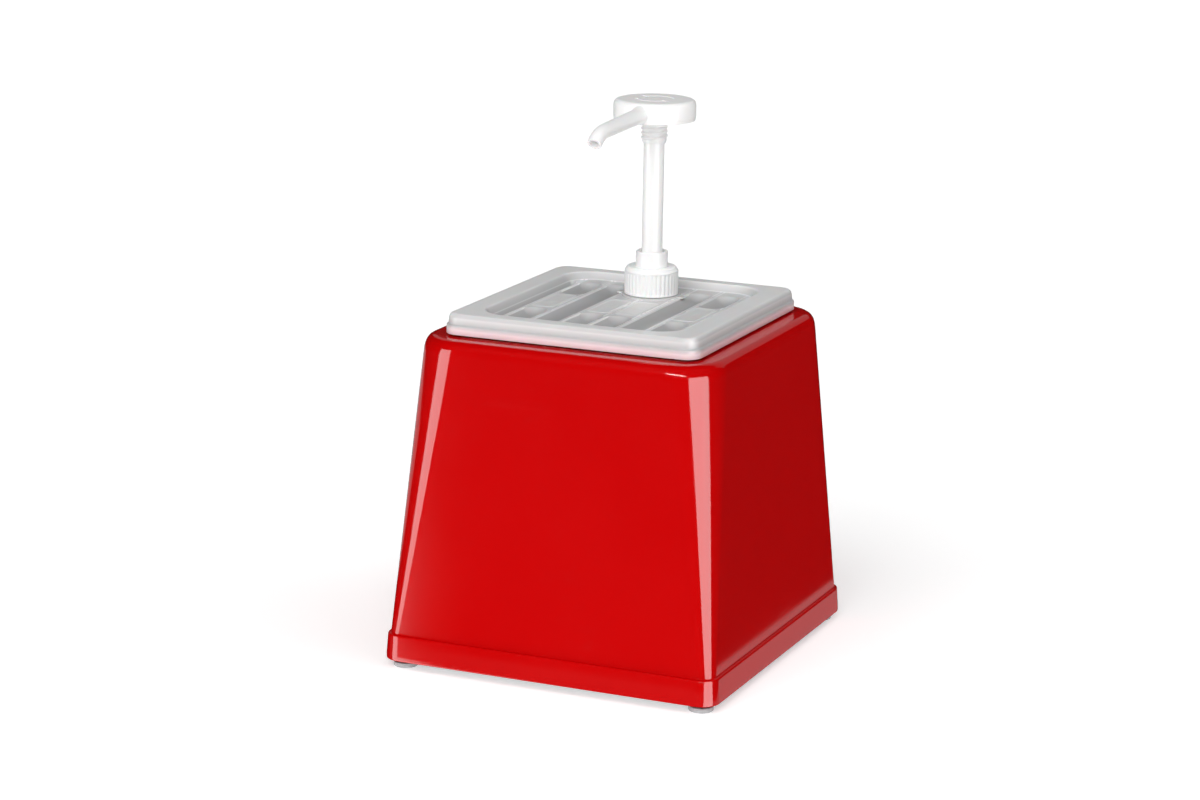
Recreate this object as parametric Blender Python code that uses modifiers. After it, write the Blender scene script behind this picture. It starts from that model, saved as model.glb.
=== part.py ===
"""Counter-top sauce dispenser: tapered red housing, lift-out food pan, snap lid and hand pump.

Frame: +Z up, origin on the counter under the middle of the housing, -Y is the front that the
spout points to. All lengths are in metres.
"""
import bpy
import bmesh
from math import cos, pi, radians, sin
from mathutils import Matrix, Vector

MM = 0.001
GAP = 0.3 * MM                 # clearance between two touching pieces

# housing
COLLAR_Z = 5.5 * MM            # underside of the collar above the counter
COLLAR_HEIGHT = 17.0 * MM
COLLAR_HALF = (114.4 * MM, 120.4 * MM)
COLLAR_RADIUS = 12.3 * MM
BODY_BOTTOM_HALF = (111.7 * MM, 116.6 * MM)
BODY_BOTTOM_RADIUS = 8.7 * MM
BODY_TOP_HALF = (101.4 * MM, 106.3 * MM)
BODY_TOP_RADIUS = 31.0 * MM
HOUSING_TOP = 214.8 * MM
TOP_FILLET = 8.0 * MM
OPENING_HALF = (76.0 * MM, 83.0 * MM)
OPENING_RADIUS = 15.0 * MM
HOUSING_WALL = 3.0 * MM

# base, feet and screws
PLATE_HALF = (108.2 * MM, 114.2 * MM)
PLATE_Z = 3.5 * MM
PLATE_THICK = 3.0 * MM
FOOT_AT = (102.0 * MM, 108.0 * MM)
FOOT_RADIUS = 8.0 * MM
POST_RADIUS = 6.2 * MM
POST_TOP = 34.0 * MM

# food pan, a sixth-size pan 150 deep
PAN_TOP = 227.2 * MM
PAN_DEPTH = 150.0 * MM
PAN_RIM_HALF = (80.6 * MM, 87.6 * MM)
PAN_MOUTH_HALF = (72.0 * MM, 79.0 * MM)
PAN_FLOOR_HALF = (65.0 * MM, 72.0 * MM)
PAN_WALL = 2.2 * MM

# lid
LID_TOP = 229.3 * MM
LID_BOTTOM = 216.2 * MM
LID_HALF = (86.5 * MM, 91.0 * MM)
LID_RADIUS = 13.0 * MM
LID_WALL = 1.6 * MM
RECESS_HALF = (67.0 * MM, 76.8 * MM)
RECESS_DEPTH = 5.0 * MM
TROUGH_PITCH = 19.6 * MM
TROUGH_RADIUS = 10.0 * MM
TROUGH_RISE = 5.2 * MM         # trough centre line above the recess floor
TROUGH_FRONT = -64.5 * MM
TROUGH_BACK = 56.0 * MM
PAD_FRONT = -33.0 * MM
PAD_BACK = 32.0 * MM

# pump, on its own axis behind the middle of the lid
PUMP_Y = 46.0 * MM
BOSS_RADIUS = 19.5 * MM
NECK_BORE = 13.2 * MM
NECK_RADIUS = 14.5 * MM
NECK_TOP = 237.4 * MM
CAP_BOTTOM = 225.9 * MM
CAP_TOP = 243.9 * MM
CAP_RADIUS = 17.6 * MM
CAP_RIBS = 36
CYLINDER_RADIUS = 12.9 * MM
BORE_RADIUS = 11.3 * MM
CYLINDER_TOP = 240.7 * MM
CYLINDER_FLOOR = 124.5 * MM
SOCKET_RADIUS = 8.2 * MM
SOCKET_BORE = 6.6 * MM
SOCKET_END = 98.0 * MM
CHIMNEY_RADIUS = 10.45 * MM
CHIMNEY_BORE = 9.0 * MM
CHIMNEY_TOP = 254.0 * MM
STEM_RADIUS = 6.75 * MM
STEM_BORE = 4.6 * MM
STEM_BOTTOM = 219.3 * MM
STEM_TOP = 342.5 * MM
PISTON_BOTTOM = 213.0 * MM
PISTON_TOP = 227.4 * MM
BALL_RADIUS = 3.8 * MM
HEAD_RADIUS = 26.9 * MM
HEAD_TOP = 354.0 * MM
HEAD_BOTTOM = 340.5 * MM
SPOUT_Z = 346.5 * MM
SPOUT_BEND_Y = -37.0 * MM
SPOUT_BEND_RADIUS = 24.0 * MM
SPOUT_END_ANGLE = radians(42)
SPOUT_DROOP = radians(2.3)
SPRING_TURNS = 6.5
SPRING_WIRE = 0.6 * MM         # half the wire's thickness
SPRING_RADIUS = 8.9 * MM
TUBE_RADIUS = 6.2 * MM
TUBE_BORE = 4.9 * MM
TUBE_BOTTOM = 82.5 * MM
TUBE_TOP = 103.5 * MM

STEPS = 32                     # facets round a visible turned piece
INNER_STEPS = 24               # and round one hidden inside the pump


def fresh_collections():
    for obj in list(bpy.data.objects):
        bpy.data.objects.remove(obj)
    parts = bpy.data.collections.new("sauce_dispenser")
    cutters = bpy.data.collections.new("cutters")
    for collection in (parts, cutters):
        bpy.context.scene.collection.children.link(collection)
    return parts, cutters


PARTS, CUTTERS = fresh_collections()


def plastic(name, colour, roughness, metallic=0.0):
    material = bpy.data.materials.new(name)
    material.use_nodes = True
    shader = material.node_tree.nodes["Principled BSDF"]
    shader.inputs["Base Color"].default_value = (*colour, 1.0)
    shader.inputs["Roughness"].default_value = roughness
    shader.inputs["Metallic"].default_value = metallic
    material.diffuse_color = (*colour, 1.0)
    return material


RED = plastic("red_abs", (0.62, 0.003, 0.004), 0.18)
GREY = plastic("grey_abs", (0.32, 0.33, 0.34), 0.5)
RUBBER = plastic("grey_rubber", (0.34, 0.36, 0.38), 0.7)
CLEAR = plastic("milky_polypropylene", (0.72, 0.73, 0.72), 0.4)
LID = plastic("frosted_polyethylene", (0.6, 0.6, 0.6), 0.45)
WHITE = plastic("white_polypropylene", (0.88, 0.88, 0.88), 0.35)
SEAL = plastic("white_silicone", (0.78, 0.78, 0.76), 0.6)
STEEL = plastic("stainless_steel", (0.6, 0.6, 0.58), 0.25, 1.0)


def place(name, mesh, material=None, at=(0.0, 0.0)):
    """Link a mesh as a part, or as a cutter when it has no material."""
    obj = bpy.data.objects.new(name, mesh)
    obj.location = (at[0], at[1], 0.0)
    if material is None:
        CUTTERS.objects.link(obj)
        obj.hide_render = True
        obj.display_type = "WIRE"
    else:
        PARTS.objects.link(obj)
        mesh.materials.append(material)
    return obj


def mesh_of(name, bm, smooth=True):
    mesh = bpy.data.meshes.new(name)
    bmesh.ops.recalc_face_normals(bm, faces=bm.faces)
    bm.to_mesh(mesh)
    bm.free()
    if smooth:
        mesh.shade_smooth()
        mesh.set_sharp_from_angle(angle=radians(35))
    return mesh


def boolean(target, tool, operation):
    modifier = target.modifiers.new(tool.name, "BOOLEAN")
    modifier.operation = operation
    modifier.object = tool
    modifier.solver = "EXACT"


def cylinder(name, radius, bottom, top, material=None, at=(0.0, 0.0), segments=24):
    bm = bmesh.new()
    bmesh.ops.create_cone(bm, cap_ends=True, segments=segments, radius1=radius, radius2=radius,
                          depth=top - bottom, matrix=Matrix.Translation((0, 0, (top + bottom) / 2)))
    return place(name, mesh_of(name, bm), material, at)


def box(name, low, high, material=None):
    bm = bmesh.new()
    low, high = Vector(low), Vector(high)
    size = high - low
    matrix = Matrix.Translation((low + high) / 2) @ Matrix.Diagonal((*size, 1.0))
    bmesh.ops.create_cube(bm, size=1.0, matrix=matrix)
    return place(name, mesh_of(name, bm, smooth=False), material)


def ball(name, radius, height, material, at):
    bm = bmesh.new()
    bmesh.ops.create_uvsphere(bm, u_segments=14, v_segments=8, radius=radius)
    obj = place(name, mesh_of(name, bm), material, at)
    obj.location.z = height
    return obj


def turned(name, profile, material=None, at=(0.0, 0.0), steps=STEPS, closed=True):
    """Turn a profile of (radius, height) pairs that runs down its outer side."""
    mesh = bpy.data.meshes.new(name)
    count = len(profile)
    edges = [(i, i + 1) for i in range(count - 1)]
    if closed:
        edges.append((count - 1, 0))
    mesh.from_pydata([(r, 0.0, z) for r, z in profile], edges, [])
    obj = place(name, mesh, material, at)
    screw = obj.modifiers.new("turn", "SCREW")
    screw.axis = "Z"
    screw.angle = 2 * pi
    screw.steps = steps
    screw.render_steps = steps
    screw.use_merge_vertices = True
    screw.merge_threshold = 0.00001
    screw.use_smooth_shade = True
    return obj


def fillet(centre, radius, start, end, count):
    """Points of a profile arc, angles in degrees from +radius towards +height."""
    angles = [radians(start + (end - start) * i / count) for i in range(count + 1)]
    return [(centre[0] + radius * cos(a), centre[1] + radius * sin(a)) for a in angles]


def rounded_ring(half, radius, z, corner_steps=6):
    points = []
    for quarter, (sx, sy) in enumerate(((1, 1), (-1, 1), (-1, -1), (1, -1))):
        centre = Vector((sx * (half[0] - radius), sy * (half[1] - radius), z))
        for step in range(corner_steps + 1):
            angle = (quarter + step / corner_steps) * pi / 2
            points.append(centre + radius * Vector((cos(angle), sin(angle), 0.0)))
    return points


def loft(name, sections, material, capped):
    """Skin rounded-rectangle sections (half sizes, corner radius, height) in their order."""
    bm = bmesh.new()
    rings = [[bm.verts.new(p) for p in rounded_ring(*section)] for section in sections]
    pairs = list(zip(rings, rings[1:]))
    if capped:
        bm.faces.new(rings[0])
        bm.faces.new(reversed(rings[-1]))
    else:
        pairs.append((rings[-1], rings[0]))
    for lower, upper in pairs:
        for i in range(len(lower)):
            j = (i + 1) % len(lower)
            bm.faces.new((lower[i], lower[j], upper[j], upper[i]))
    return place(name, mesh_of(name, bm), material)


def shrink(half, amount):
    return (half[0] - amount, half[1] - amount)


def between(a, b, t):
    return tuple(p + (q - p) * t for p, q in zip(a, b))


def body_section(z, inset=0.0):
    """The tapered wall's half sizes and corner radius at a height."""
    bottom = COLLAR_Z + COLLAR_HEIGHT
    t = (z - bottom) / (HOUSING_TOP - bottom)
    half = between(BODY_BOTTOM_HALF, BODY_TOP_HALF, t)
    radius = BODY_BOTTOM_RADIUS + (BODY_TOP_RADIUS - BODY_BOTTOM_RADIUS) * t
    return shrink(half, inset), radius - inset, z


def make_housing():
    collar_top = COLLAR_Z + COLLAR_HEIGHT
    shoulder = shrink(COLLAR_HALF, 1.0 * MM)
    sections = [
        (shrink(COLLAR_HALF, 0.8 * MM), COLLAR_RADIUS - 0.8 * MM, COLLAR_Z),
        (COLLAR_HALF, COLLAR_RADIUS, COLLAR_Z + 0.8 * MM),
        (shoulder, COLLAR_RADIUS - 1 * MM, collar_top - 1.8 * MM),
        (shrink(shoulder, 0.5 * MM), COLLAR_RADIUS - 1.5 * MM, collar_top - 0.6 * MM),
        (shrink(shoulder, 1.5 * MM), COLLAR_RADIUS - 2.4 * MM, collar_top),
    ]
    sections.append(body_section(collar_top + 0.6 * MM))
    tangent = HOUSING_TOP - TOP_FILLET
    sections.append(body_section(tangent))
    for step in range(1, 6):
        angle = step / 5 * pi / 2
        half, radius, _ = body_section(tangent)
        inset = TOP_FILLET * (1 - cos(angle))
        z = tangent + TOP_FILLET * sin(angle)
        sections.append((shrink(half, inset), radius - inset, z))
    sections.append((OPENING_HALF, OPENING_RADIUS, HOUSING_TOP))
    inner_top = HOUSING_TOP - HOUSING_WALL
    sections.append((OPENING_HALF, OPENING_RADIUS, inner_top))
    sections.append(body_section(inner_top, HOUSING_WALL + 4.0 * MM))
    sections.append(body_section(inner_top - 5.0 * MM, HOUSING_WALL))
    sections.append(body_section(collar_top + 1.0 * MM, HOUSING_WALL))
    cavity = shrink(COLLAR_HALF, HOUSING_WALL)
    sections.append((cavity, COLLAR_RADIUS - HOUSING_WALL, collar_top - 3.0 * MM))
    sections.append((cavity, COLLAR_RADIUS - HOUSING_WALL, COLLAR_Z))
    housing = loft("housing", sections, RED, capped=False)
    for sx in (-1, 1):
        for sy in (-1, 1):
            at = (sx * FOOT_AT[0], sy * FOOT_AT[1])
            tag = corner_tag(sx, sy)
            bottom = PLATE_Z + PLATE_THICK + GAP
            post = cylinder("post_" + tag, POST_RADIUS, bottom, POST_TOP, at=at, segments=16)
            hole = cylinder("pilot_" + tag, 1.9 * MM, 0.0, 21.0 * MM, at=at, segments=12)
            web = box("web_" + tag, (sx * 100 * MM - 1.5 * MM, sy * 105 * MM - 8 * MM, bottom),
                      (sx * 100 * MM + 1.5 * MM, sy * 105 * MM + 8 * MM, POST_TOP - 4 * MM))
            boolean(housing, post, "UNION")
            boolean(housing, web, "UNION")
            boolean(housing, hole, "DIFFERENCE")
    return housing


def corner_tag(sx, sy):
    return ("front" if sy < 0 else "back") + ("_left" if sx < 0 else "_right")


def make_base():
    bm = bmesh.new()
    half, top = PLATE_HALF, PLATE_Z + PLATE_THICK
    size = Matrix.Diagonal((2 * half[0], 2 * half[1], PLATE_THICK, 1.0))
    bmesh.ops.create_cube(bm, size=1.0, matrix=Matrix.Translation((0, 0, (PLATE_Z + top) / 2)) @ size)
    corners = [e for e in bm.edges if abs(e.verts[0].co.z - e.verts[1].co.z) > PLATE_THICK / 2]
    bmesh.ops.bevel(bm, geom=corners, offset=6.0 * MM, segments=5, affect="EDGES", profile=0.5)
    plate = place("base_plate", mesh_of("base_plate", bm), GREY)
    rib_top = top + 4.0 * MM
    for index, x in enumerate((-50, 0, 50)):
        rib = box(f"rib_{index}", ((x - 1) * MM, -90 * MM, top - 1 * MM), ((x + 1) * MM, 90 * MM, rib_top))
        boolean(plate, rib, "UNION")
    cross = box("rib_cross", (-85 * MM, -1 * MM, top - 1 * MM), (85 * MM, 1 * MM, rib_top))
    boolean(plate, cross, "UNION")
    for sx in (-1, 1):
        for sy in (-1, 1):
            at = (sx * FOOT_AT[0], sy * FOOT_AT[1])
            tag = corner_tag(sx, sy)
            boolean(plate, cylinder("plate_hole_" + tag, 4.9 * MM, 0.0, 20 * MM, at=at, segments=16), "DIFFERENCE")
            make_foot(tag, at)
            make_screw(tag, at)


def make_foot(tag, at):
    under = PLATE_Z - GAP
    top = PLATE_Z + PLATE_THICK
    profile = [
        (4.5 * MM, top), (4.5 * MM, under), (FOOT_RADIUS - 0.6 * MM, under),
        (FOOT_RADIUS, under - 0.6 * MM), (FOOT_RADIUS, 0.8 * MM), (FOOT_RADIUS - 0.8 * MM, 0.0),
        (4.0 * MM, 0.0), (4.0 * MM, 2.6 * MM), (1.9 * MM, 2.6 * MM), (1.9 * MM, top),
    ]
    turned("foot_" + tag, profile, RUBBER, at, steps=18)


def make_screw(tag, at):
    profile = [
        (0.0, 19.0 * MM), (0.5 * MM, 19.0 * MM), (1.6 * MM, 16.5 * MM), (1.6 * MM, 2.3 * MM),
        (3.5 * MM, 2.3 * MM), (3.5 * MM, 1.2 * MM), (2.8 * MM, 0.5 * MM), (0.0, 0.5 * MM),
    ]
    screw = turned("foot_screw_" + tag, profile, STEEL, at, steps=12, closed=False)
    x, y = at
    for axis, (dx, dy) in enumerate(((2.0, 0.35), (0.35, 2.0))):
        slot = box(f"slot_{axis}_{tag}", (x - dx * MM, y - dy * MM, 0.0), (x + dx * MM, y + dy * MM, 1.4 * MM))
        boolean(screw, slot, "DIFFERENCE")


def make_pan():
    bottom = PAN_TOP - PAN_DEPTH
    rim_foot = HOUSING_TOP + GAP
    under = PAN_TOP - PAN_WALL
    rim_inner = shrink(PAN_RIM_HALF, PAN_WALL)
    outer_mouth = tuple(h + PAN_WALL for h in PAN_MOUTH_HALF)
    outer_floor = tuple(h + PAN_WALL for h in PAN_FLOOR_HALF)
    sections = [
        (shrink(PAN_FLOOR_HALF, 6 * MM), 8 * MM, bottom + PAN_WALL),
        (shrink(PAN_FLOOR_HALF, 1.8 * MM), 12 * MM, bottom + PAN_WALL + 1.8 * MM),
        (PAN_FLOOR_HALF, 13 * MM, bottom + PAN_WALL + 6 * MM),
        (shrink(PAN_MOUTH_HALF, 3.2 * MM), 14 * MM, PAN_TOP - 26 * MM),
        (shrink(PAN_MOUTH_HALF, 0.4 * MM), 15 * MM, PAN_TOP - 23 * MM),
        (PAN_MOUTH_HALF, 15 * MM, PAN_TOP - 1.5 * MM),
        (tuple(h + 1.5 * MM for h in PAN_MOUTH_HALF), 16 * MM, PAN_TOP),
        (shrink(PAN_RIM_HALF, 1.5 * MM), 15 * MM, PAN_TOP),
        (PAN_RIM_HALF, 16.5 * MM, PAN_TOP - 1.5 * MM),
        (PAN_RIM_HALF, 16.5 * MM, rim_foot),
        (rim_inner, 14.3 * MM, rim_foot),
        (rim_inner, 14.3 * MM, under),
        (outer_mouth, 17 * MM, under),
        (shrink(outer_mouth, 0.6 * MM), 16.5 * MM, PAN_TOP - 23.5 * MM),
        (shrink(outer_mouth, 3.4 * MM), 16 * MM, PAN_TOP - 27.5 * MM),
        (outer_floor, 15 * MM, bottom + 7 * MM),
        (shrink(outer_floor, 2.2 * MM), 13 * MM, bottom + 2.0 * MM),
        (shrink(outer_floor, 7 * MM), 9 * MM, bottom),
    ]
    return loft("food_pan", sections, CLEAR, capped=True)


def capsule(name, radius, x, y_front, y_back, z, keep_below=None):
    """A round-ended bar along Y, optionally cut flat at a height."""
    bm = bmesh.new()
    bmesh.ops.create_uvsphere(bm, u_segments=16, v_segments=9, radius=radius)
    bmesh.ops.rotate(bm, verts=bm.verts, matrix=Matrix.Rotation(pi / 2, 3, "X"))
    for vert in bm.verts:
        vert.co += Vector((x, y_back if vert.co.y > 0 else y_front, z))
    if keep_below is not None:
        geom = list(bm.verts) + list(bm.edges) + list(bm.faces)
        cut = bmesh.ops.bisect_plane(bm, geom=geom, plane_co=(0, 0, keep_below), plane_no=(0, 0, 1),
                                     clear_outer=True)
        rim = [e for e in cut["geom_cut"] if isinstance(e, bmesh.types.BMEdge)]
        bmesh.ops.contextual_create(bm, geom=rim)
    return place(name, mesh_of(name, bm))


def trough_runs():
    """Each trough as (x, front, back); the four label pads interrupt theirs."""
    runs = []
    for index in (-2.5, -1.5, -0.5, 0.5, 1.5, 2.5):
        x = index * TROUGH_PITCH
        if abs(index) == 1.5:
            runs.append((x, TROUGH_FRONT, TROUGH_BACK))
            continue
        runs.append((x, TROUGH_FRONT, PAD_FRONT))
        if abs(index) == 2.5:
            runs.append((x, PAD_BACK, TROUGH_BACK))
    return runs


def make_lid():
    floor = LID_TOP - RECESS_DEPTH
    tier = shrink(LID_HALF, 1.4 * MM)
    outer_recess = tuple(h + LID_WALL for h in RECESS_HALF)
    under = LID_TOP - LID_WALL
    lip_inner = shrink(LID_HALF, LID_WALL)
    tier_inner = shrink(tier, LID_WALL)
    sections = [
        (shrink(RECESS_HALF, 1.6 * MM), 10 * MM, floor),
        (shrink(RECESS_HALF, 0.6 * MM), 11.4 * MM, LID_TOP - 0.8 * MM),
        (RECESS_HALF, 12 * MM, LID_TOP),
        (shrink(tier, 3.2 * MM), LID_RADIUS - 4 * MM, LID_TOP),
        (shrink(tier, 1.3 * MM), LID_RADIUS - 2.4 * MM, LID_TOP - 0.7 * MM),
        (shrink(tier, 0.3 * MM), LID_RADIUS - 1.6 * MM, LID_TOP - 2.6 * MM),
        (tier, LID_RADIUS - 1.4 * MM, LID_BOTTOM + 5.2 * MM),
        (shrink(LID_HALF, 0.2 * MM), LID_RADIUS - 0.2 * MM, LID_BOTTOM + 3.7 * MM),
        (LID_HALF, LID_RADIUS, LID_BOTTOM),
        (lip_inner, LID_RADIUS - LID_WALL, LID_BOTTOM),
        (lip_inner, LID_RADIUS - LID_WALL, LID_BOTTOM + 3.4 * MM),
        (tier_inner, LID_RADIUS - 3 * MM, LID_BOTTOM + 5.0 * MM),
        (shrink(tier_inner, 0.4 * MM), LID_RADIUS - 3.4 * MM, under),
        (outer_recess, 13.6 * MM, under),
        (shrink(outer_recess, 1.7 * MM), 11.6 * MM, floor - LID_WALL),
    ]
    lid = loft("lid", sections, LID, capped=True)
    centre = floor + TROUGH_RISE
    for number, (x, front, back) in enumerate(trough_runs()):
        belly = capsule(f"belly_{number}", TROUGH_RADIUS + 1.4 * MM, x, front, back, centre, floor - 0.8 * MM)
        boolean(lid, belly, "UNION")
    for number, (x, front, back) in enumerate(trough_runs()):
        scoop = capsule(f"scoop_{number}", TROUGH_RADIUS, x, front, back, centre)
        boolean(lid, scoop, "DIFFERENCE")
    pump = (0.0, PUMP_Y)
    neck = turned("neck", neck_profile(floor), at=pump, closed=False)
    boolean(lid, neck, "UNION")
    boolean(lid, cylinder("neck_hole", NECK_BORE, 0.2, 0.26, at=pump, segments=STEPS), "DIFFERENCE")
    return lid


def neck_profile(floor):
    """Boss and threaded neck, the thread as two raised rings."""
    crest = NECK_RADIUS + 1.1 * MM
    profile = [(0.0, NECK_TOP), (NECK_RADIUS - 0.5 * MM, NECK_TOP), (NECK_RADIUS, NECK_TOP - 0.5 * MM)]
    for z in (NECK_TOP - 2.2 * MM, NECK_TOP - 5.7 * MM):
        profile += [(NECK_RADIUS, z), (crest, z - 0.7 * MM), (crest, z - 1.1 * MM), (NECK_RADIUS, z - 1.8 * MM)]
    boss_top = CAP_BOTTOM - 0.5 * MM
    profile += [(NECK_RADIUS, boss_top), (BOSS_RADIUS - 0.5 * MM, boss_top), (BOSS_RADIUS, boss_top - 0.5 * MM)]
    profile += [(BOSS_RADIUS, floor - 1.0 * MM), (0.0, floor - 1.0 * MM)]
    return profile


def tube_mesh(name, points, bevel, resolution=2):
    """A round bar along (point, radius factor) pairs, as a welded mesh."""
    curve = bpy.data.curves.new(name, "CURVE")
    curve.dimensions = "3D"
    curve.bevel_depth = bevel
    curve.bevel_resolution = resolution
    curve.use_fill_caps = True
    spline = curve.splines.new("POLY")
    spline.points.add(len(points) - 1)
    for target, (co, radius) in zip(spline.points, points):
        target.co = (*co, 1.0)
        target.radius = radius
    return curve_mesh(name, curve)


def curve_mesh(name, curve):
    temporary = bpy.data.objects.new(name + "_curve", curve)
    PARTS.objects.link(temporary)
    graph = bpy.context.evaluated_depsgraph_get()
    mesh = bpy.data.meshes.new_from_object(temporary.evaluated_get(graph))
    bpy.data.objects.remove(temporary)
    bm = bmesh.new()
    bm.from_mesh(mesh)
    bmesh.ops.remove_doubles(bm, verts=bm.verts, dist=0.00001)
    bmesh.ops.recalc_face_normals(bm, faces=bm.faces)
    bm.to_mesh(mesh)
    bm.free()
    mesh.materials.clear()
    return mesh


def make_gasket(pump):
    low, high = NECK_TOP + GAP, NECK_TOP + 1.5 * MM
    profile = [(15.2 * MM, high), (15.2 * MM, low), (13.3 * MM, low), (13.3 * MM, high)]
    turned("neck_gasket", profile, SEAL, pump, steps=INNER_STEPS)


def make_cap(pump):
    """Ribbed screw cap: a toothed prism, a chamfered top and a stepped bore."""
    curve = bpy.data.curves.new("cap_outline", "CURVE")
    curve.dimensions = "2D"
    curve.fill_mode = "BOTH"
    height = 15.0 * MM
    curve.extrude = height / 2
    spline = curve.splines.new("POLY")
    points = []
    for tooth in range(CAP_RIBS):
        for share, drop in ((0.0, 0.0), (0.5, 0.0), (0.62, 0.6 * MM), (0.88, 0.6 * MM)):
            angle = 2 * pi * (tooth + share) / CAP_RIBS
            radius = CAP_RADIUS - drop
            points.append((radius * cos(angle), radius * sin(angle)))
    spline.points.add(len(points) - 1)
    for target, (x, y) in zip(spline.points, points):
        target.co = (x, y, 0.0, 1.0)
    spline.use_cyclic_u = True
    mesh = curve_mesh("screw_cap", curve)
    mesh.transform(Matrix.Translation((0, 0, CAP_BOTTOM + height / 2)))
    cap = place("screw_cap", mesh, WHITE, pump)
    skirt_top = CAP_BOTTOM + height
    crown = turned("cap_crown", [
        (0.0, CAP_TOP), (16.1 * MM, CAP_TOP), (16.7 * MM, CAP_TOP - 0.6 * MM), (16.9 * MM, skirt_top + 1.0 * MM),
        (16.9 * MM, skirt_top - 2.0 * MM), (0.0, skirt_top - 2.0 * MM)], at=pump, closed=False)
    roof = CYLINDER_TOP + 2.0 * MM
    hollow = turned("cap_hollow", [
        (0.0, CAP_TOP + 1 * MM), (10.8 * MM, CAP_TOP + 1 * MM), (10.8 * MM, roof), (15.9 * MM, roof),
        (15.9 * MM, CAP_BOTTOM - 1 * MM), (0.0, CAP_BOTTOM - 1 * MM)], at=pump, closed=False)
    boolean(cap, crown, "UNION")
    boolean(cap, hollow, "DIFFERENCE")


def make_cylinder(pump):
    under = CYLINDER_TOP - 1.5 * MM
    floor = CYLINDER_FLOOR
    profile = [
        (15.2 * MM, CYLINDER_TOP), (15.2 * MM, under), (CYLINDER_RADIUS, under),
        (CYLINDER_RADIUS, floor + 1.0 * MM), (SOCKET_RADIUS + 1 * MM, floor - 3.0 * MM),
        (SOCKET_RADIUS, floor - 5.0 * MM), (SOCKET_RADIUS, SOCKET_END), (SOCKET_BORE, SOCKET_END),
        (SOCKET_BORE, floor), (BORE_RADIUS, floor), (BORE_RADIUS, CYLINDER_TOP),
    ]
    turned("pump_cylinder", profile, WHITE, pump, steps=INNER_STEPS)


def make_chimney(pump):
    flange = CYLINDER_TOP + GAP
    spigot_end = 228.0 * MM
    profile = [
        (CHIMNEY_RADIUS - 0.4 * MM, CHIMNEY_TOP), (CHIMNEY_RADIUS, CHIMNEY_TOP - 0.4 * MM),
        (CHIMNEY_RADIUS, flange + 1.4 * MM), (14.5 * MM, flange + 1.4 * MM), (14.5 * MM, flange),
        (11.0 * MM, flange), (11.0 * MM, spigot_end), (7.4 * MM, spigot_end),
        (7.4 * MM, spigot_end + 1.6 * MM), (CHIMNEY_BORE, spigot_end + 1.6 * MM),
        (CHIMNEY_BORE, CHIMNEY_TOP - 0.5 * MM), (CHIMNEY_BORE + 0.5 * MM, CHIMNEY_TOP),
    ]
    turned("guide_chimney", profile, WHITE, pump, steps=INNER_STEPS)
    low = spigot_end + 1.6 * MM + GAP
    wiper = [(8.7 * MM, low + 3 * MM), (8.7 * MM, low), (7.05 * MM, low), (7.05 * MM, low + 3 * MM)]
    turned("stem_wiper", wiper, SEAL, pump, steps=INNER_STEPS)


def make_piston(pump):
    low, top = PISTON_BOTTOM, PISTON_TOP
    seat = STEM_BOTTOM - GAP
    groove = 9.3 * MM
    profile = [
        (10.3 * MM, top), (10.7 * MM, top - 0.4 * MM), (10.7 * MM, low + 6.0 * MM), (groove, low + 6.0 * MM),
        (groove, low + 2.0 * MM), (10.7 * MM, low + 2.0 * MM), (10.7 * MM, low), (3.2 * MM, low),
        (3.2 * MM, seat - 1.0 * MM), (4.2 * MM, seat), (7.05 * MM, seat), (7.05 * MM, top),
    ]
    turned("piston", profile, WHITE, pump, steps=INNER_STEPS)
    ring = [(11.0 * MM, low + 5.4 * MM), (10.8 * MM, low + 3.8 * MM), (11.0 * MM, low + 2.6 * MM),
            (9.6 * MM, low + 2.6 * MM), (9.6 * MM, low + 5.4 * MM)]
    turned("piston_seal", ring, SEAL, pump, steps=INNER_STEPS)
    ball("outlet_ball", BALL_RADIUS, seat + 1.5 * MM, STEEL, pump)


def make_stem(pump):
    profile = [
        (STEM_RADIUS - 0.4 * MM, STEM_TOP), (STEM_RADIUS, STEM_TOP - 0.4 * MM), (STEM_RADIUS, STEM_BOTTOM),
        (STEM_BORE, STEM_BOTTOM), (STEM_BORE, STEM_TOP)]
    turned("plunger_stem", profile, WHITE, pump, steps=INNER_STEPS)
    top = HEAD_BOTTOM - 1.9 * MM
    core, crest, bore = 7.8 * MM, 8.6 * MM, 7.05 * MM
    collar = [(9.2 * MM, top), (9.2 * MM, top - 1.0 * MM), (core, top - 1.4 * MM)]
    for z in (top - 3.2 * MM, top - 6.2 * MM, top - 9.2 * MM):
        collar += [(core, z), (crest, z - 0.8 * MM), (core, z - 1.6 * MM)]
    collar += [(core, top - 12.4 * MM), (7.4 * MM, top - 13.1 * MM), (bore, top - 13.1 * MM), (bore, top)]
    turned("lock_collar", collar, WHITE, pump, steps=INNER_STEPS)


def spout_path():
    """Centre line of the spout from the pump's axis, and its outer radius in mm."""
    start = Vector((0.0, 0.0, SPOUT_Z + 0.9 * MM))
    run = PUMP_Y - SPOUT_BEND_Y
    bend = Vector((0.0, -run, start.z - run * sin(SPOUT_DROOP)))
    points = [(start, 5.3), (start.lerp(bend, 0.3), 5.3), (start.lerp(bend, 0.65), 5.0), (bend, 4.7)]
    for step in range(1, 7):
        angle = SPOUT_DROOP + (SPOUT_END_ANGLE - SPOUT_DROOP) * step / 6
        forward = SPOUT_BEND_RADIUS * (sin(angle) - sin(SPOUT_DROOP))
        down = SPOUT_BEND_RADIUS * (cos(SPOUT_DROOP) - cos(angle))
        points.append((bend + Vector((0.0, -forward, -down)), 4.7))
    return points


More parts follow.
